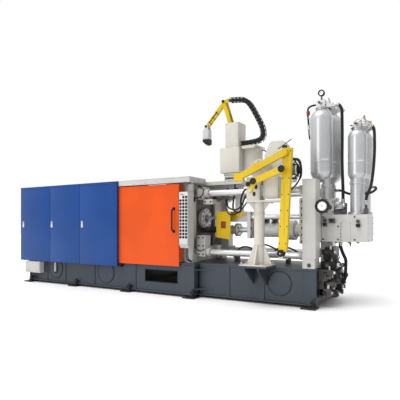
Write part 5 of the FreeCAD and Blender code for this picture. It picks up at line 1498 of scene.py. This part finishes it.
def platen_cables():
    """Short cable loop and small junction boxes at the platen's lower front corner."""
    loop = [(1.942, -0.615, 0.830), (1.975, -0.640, 0.822), (2.020, -0.640, 0.775),
            (2.065, -0.600, 0.745), (2.090, -0.560, 0.760), (2.090, -0.512, 0.780)]
    parts = [(tube(loop, 0.009), 0), (hexagon((2.090, -0.510, 0.780), "-y", 0.026, 0.014), 1),
             (block((1.945, -0.625, 1.550), (1.975, -0.600, 1.625), edge=0.003), 0),
             (block((2.005, -0.575, 1.780), (2.030, -0.545, 1.820), edge=0.003), 0)]
    piece("platen_cables", "machine", "rubber_black", parts, ("rubber_black", "nut_steel"))


# ---- stage, light and camera

def stage_floor():
    """Plain pale floor."""
    part = bmesh.new()
    bmesh.ops.create_grid(part, x_segments=1, y_segments=1, size=40.0)
    mesh = bpy.data.meshes.new("floor")
    part.to_mesh(mesh)
    part.free()
    floor = bpy.data.objects.new("floor", mesh)
    floor.location = (0.0, 0.0, FLOOR_Z)
    bpy.context.collection.objects.link(floor)
    material, tree, shader = start_material("pale_floor")
    shade = noise(tree, object_place(tree), 0.6, 2.0)
    colour = blend_colour(tree, shade, (0.92, 0.92, 0.92), (0.95, 0.95, 0.95))
    tree.links.new(colour, shader.inputs["Base Color"])
    shader.inputs["Roughness"].default_value = 0.7
    mesh.materials.append(material)


def area_light(name, place, target, size, power):
    lamp = bpy.data.lights.new(name, "AREA")
    lamp.shape = "RECTANGLE"
    lamp.size, lamp.size_y = size
    lamp.energy = power
    holder = bpy.data.objects.new(name, lamp)
    holder.location = place
    direction = Vector(target) - Vector(place)
    holder.rotation_euler = direction.to_track_quat("-Z", "Y").to_euler()
    bpy.context.collection.objects.link(holder)


def room(world):
    """A room that is white behind the machine and dim behind the viewer."""
    tree = world.node_tree
    coordinates = tree.nodes.new("ShaderNodeTexCoord")
    facing_back = tree.nodes.new("ShaderNodeVectorMath")
    facing_back.operation = "DOT_PRODUCT"
    tree.links.new(coordinates.outputs["Generated"], facing_back.inputs[0])
    facing_back.inputs[1].default_value = (-0.515, 0.857, 0.75)
    share = spread(tree, facing_back.outputs["Value"], -0.25, 0.50)
    colour = blend_colour(tree, share, (0.62, 0.62, 0.63), (1.0, 1.0, 1.0))
    tree.links.new(colour, tree.nodes["Background"].inputs["Color"])


def studio():
    """White backdrop, broad sun-like key from the front and left, and a tall soft box."""
    world = bpy.data.worlds.new("white_room")
    world.use_nodes = True
    room(world)
    bpy.context.scene.world = world
    key = bpy.data.lights.new("key_light", "SUN")
    key.energy = 1.75
    key.angle = math.radians(50)
    holder = bpy.data.objects.new("key_light", key)
    holder.rotation_euler = Vector((0.40, 0.62, -1.35)).to_track_quat("-Z", "Y").to_euler()
    bpy.context.collection.objects.link(holder)
    area_light("tall_soft_box", (0.5, -9.0, 3.0), (3.0, 0.0, 1.5), (2.6, 6.0), 170.0)
    bpy.context.scene.view_settings.view_transform = "Standard"


def camera():
    lens = bpy.data.cameras.new("camera")
    lens.lens = 37.62
    lens.sensor_width = 36.0
    lens.shift_y = 0.0625
    lens.clip_end = 200.0
    holder = bpy.data.objects.new("camera", lens)
    holder.location = (5.5475, -6.4076, 1.1708)
    holder.rotation_euler = (math.radians(90), 0.0, math.radians(31))
    bpy.context.collection.objects.link(holder)
    bpy.context.scene.camera = holder


def main():
    camera()
    studio()
    stage_floor()
    for build in (bed_details, window_frame, electrical_box_details, sight_tube, covers, cover_end_details,
                  guard_details, canopy_details, control_panel_details, platen_details, bracket_details,
                  under_bracket_blocks, shot_cylinder_details, end_frame_details, sleeve_guard_plate,
                  gauge_faces, bottle_details, head_details, charging_line, manifold_details, hose_fittings,
                  bed_end_details, ladler_details, ladler_post_details, ladler_housing_details,
                  sprayer_details, spray_arm_details, cable_chain, rear_details,
                  deck_pipes, hanging_cables, cylinder_valves, rear_junction_box, platen_cables):
        build()


main()
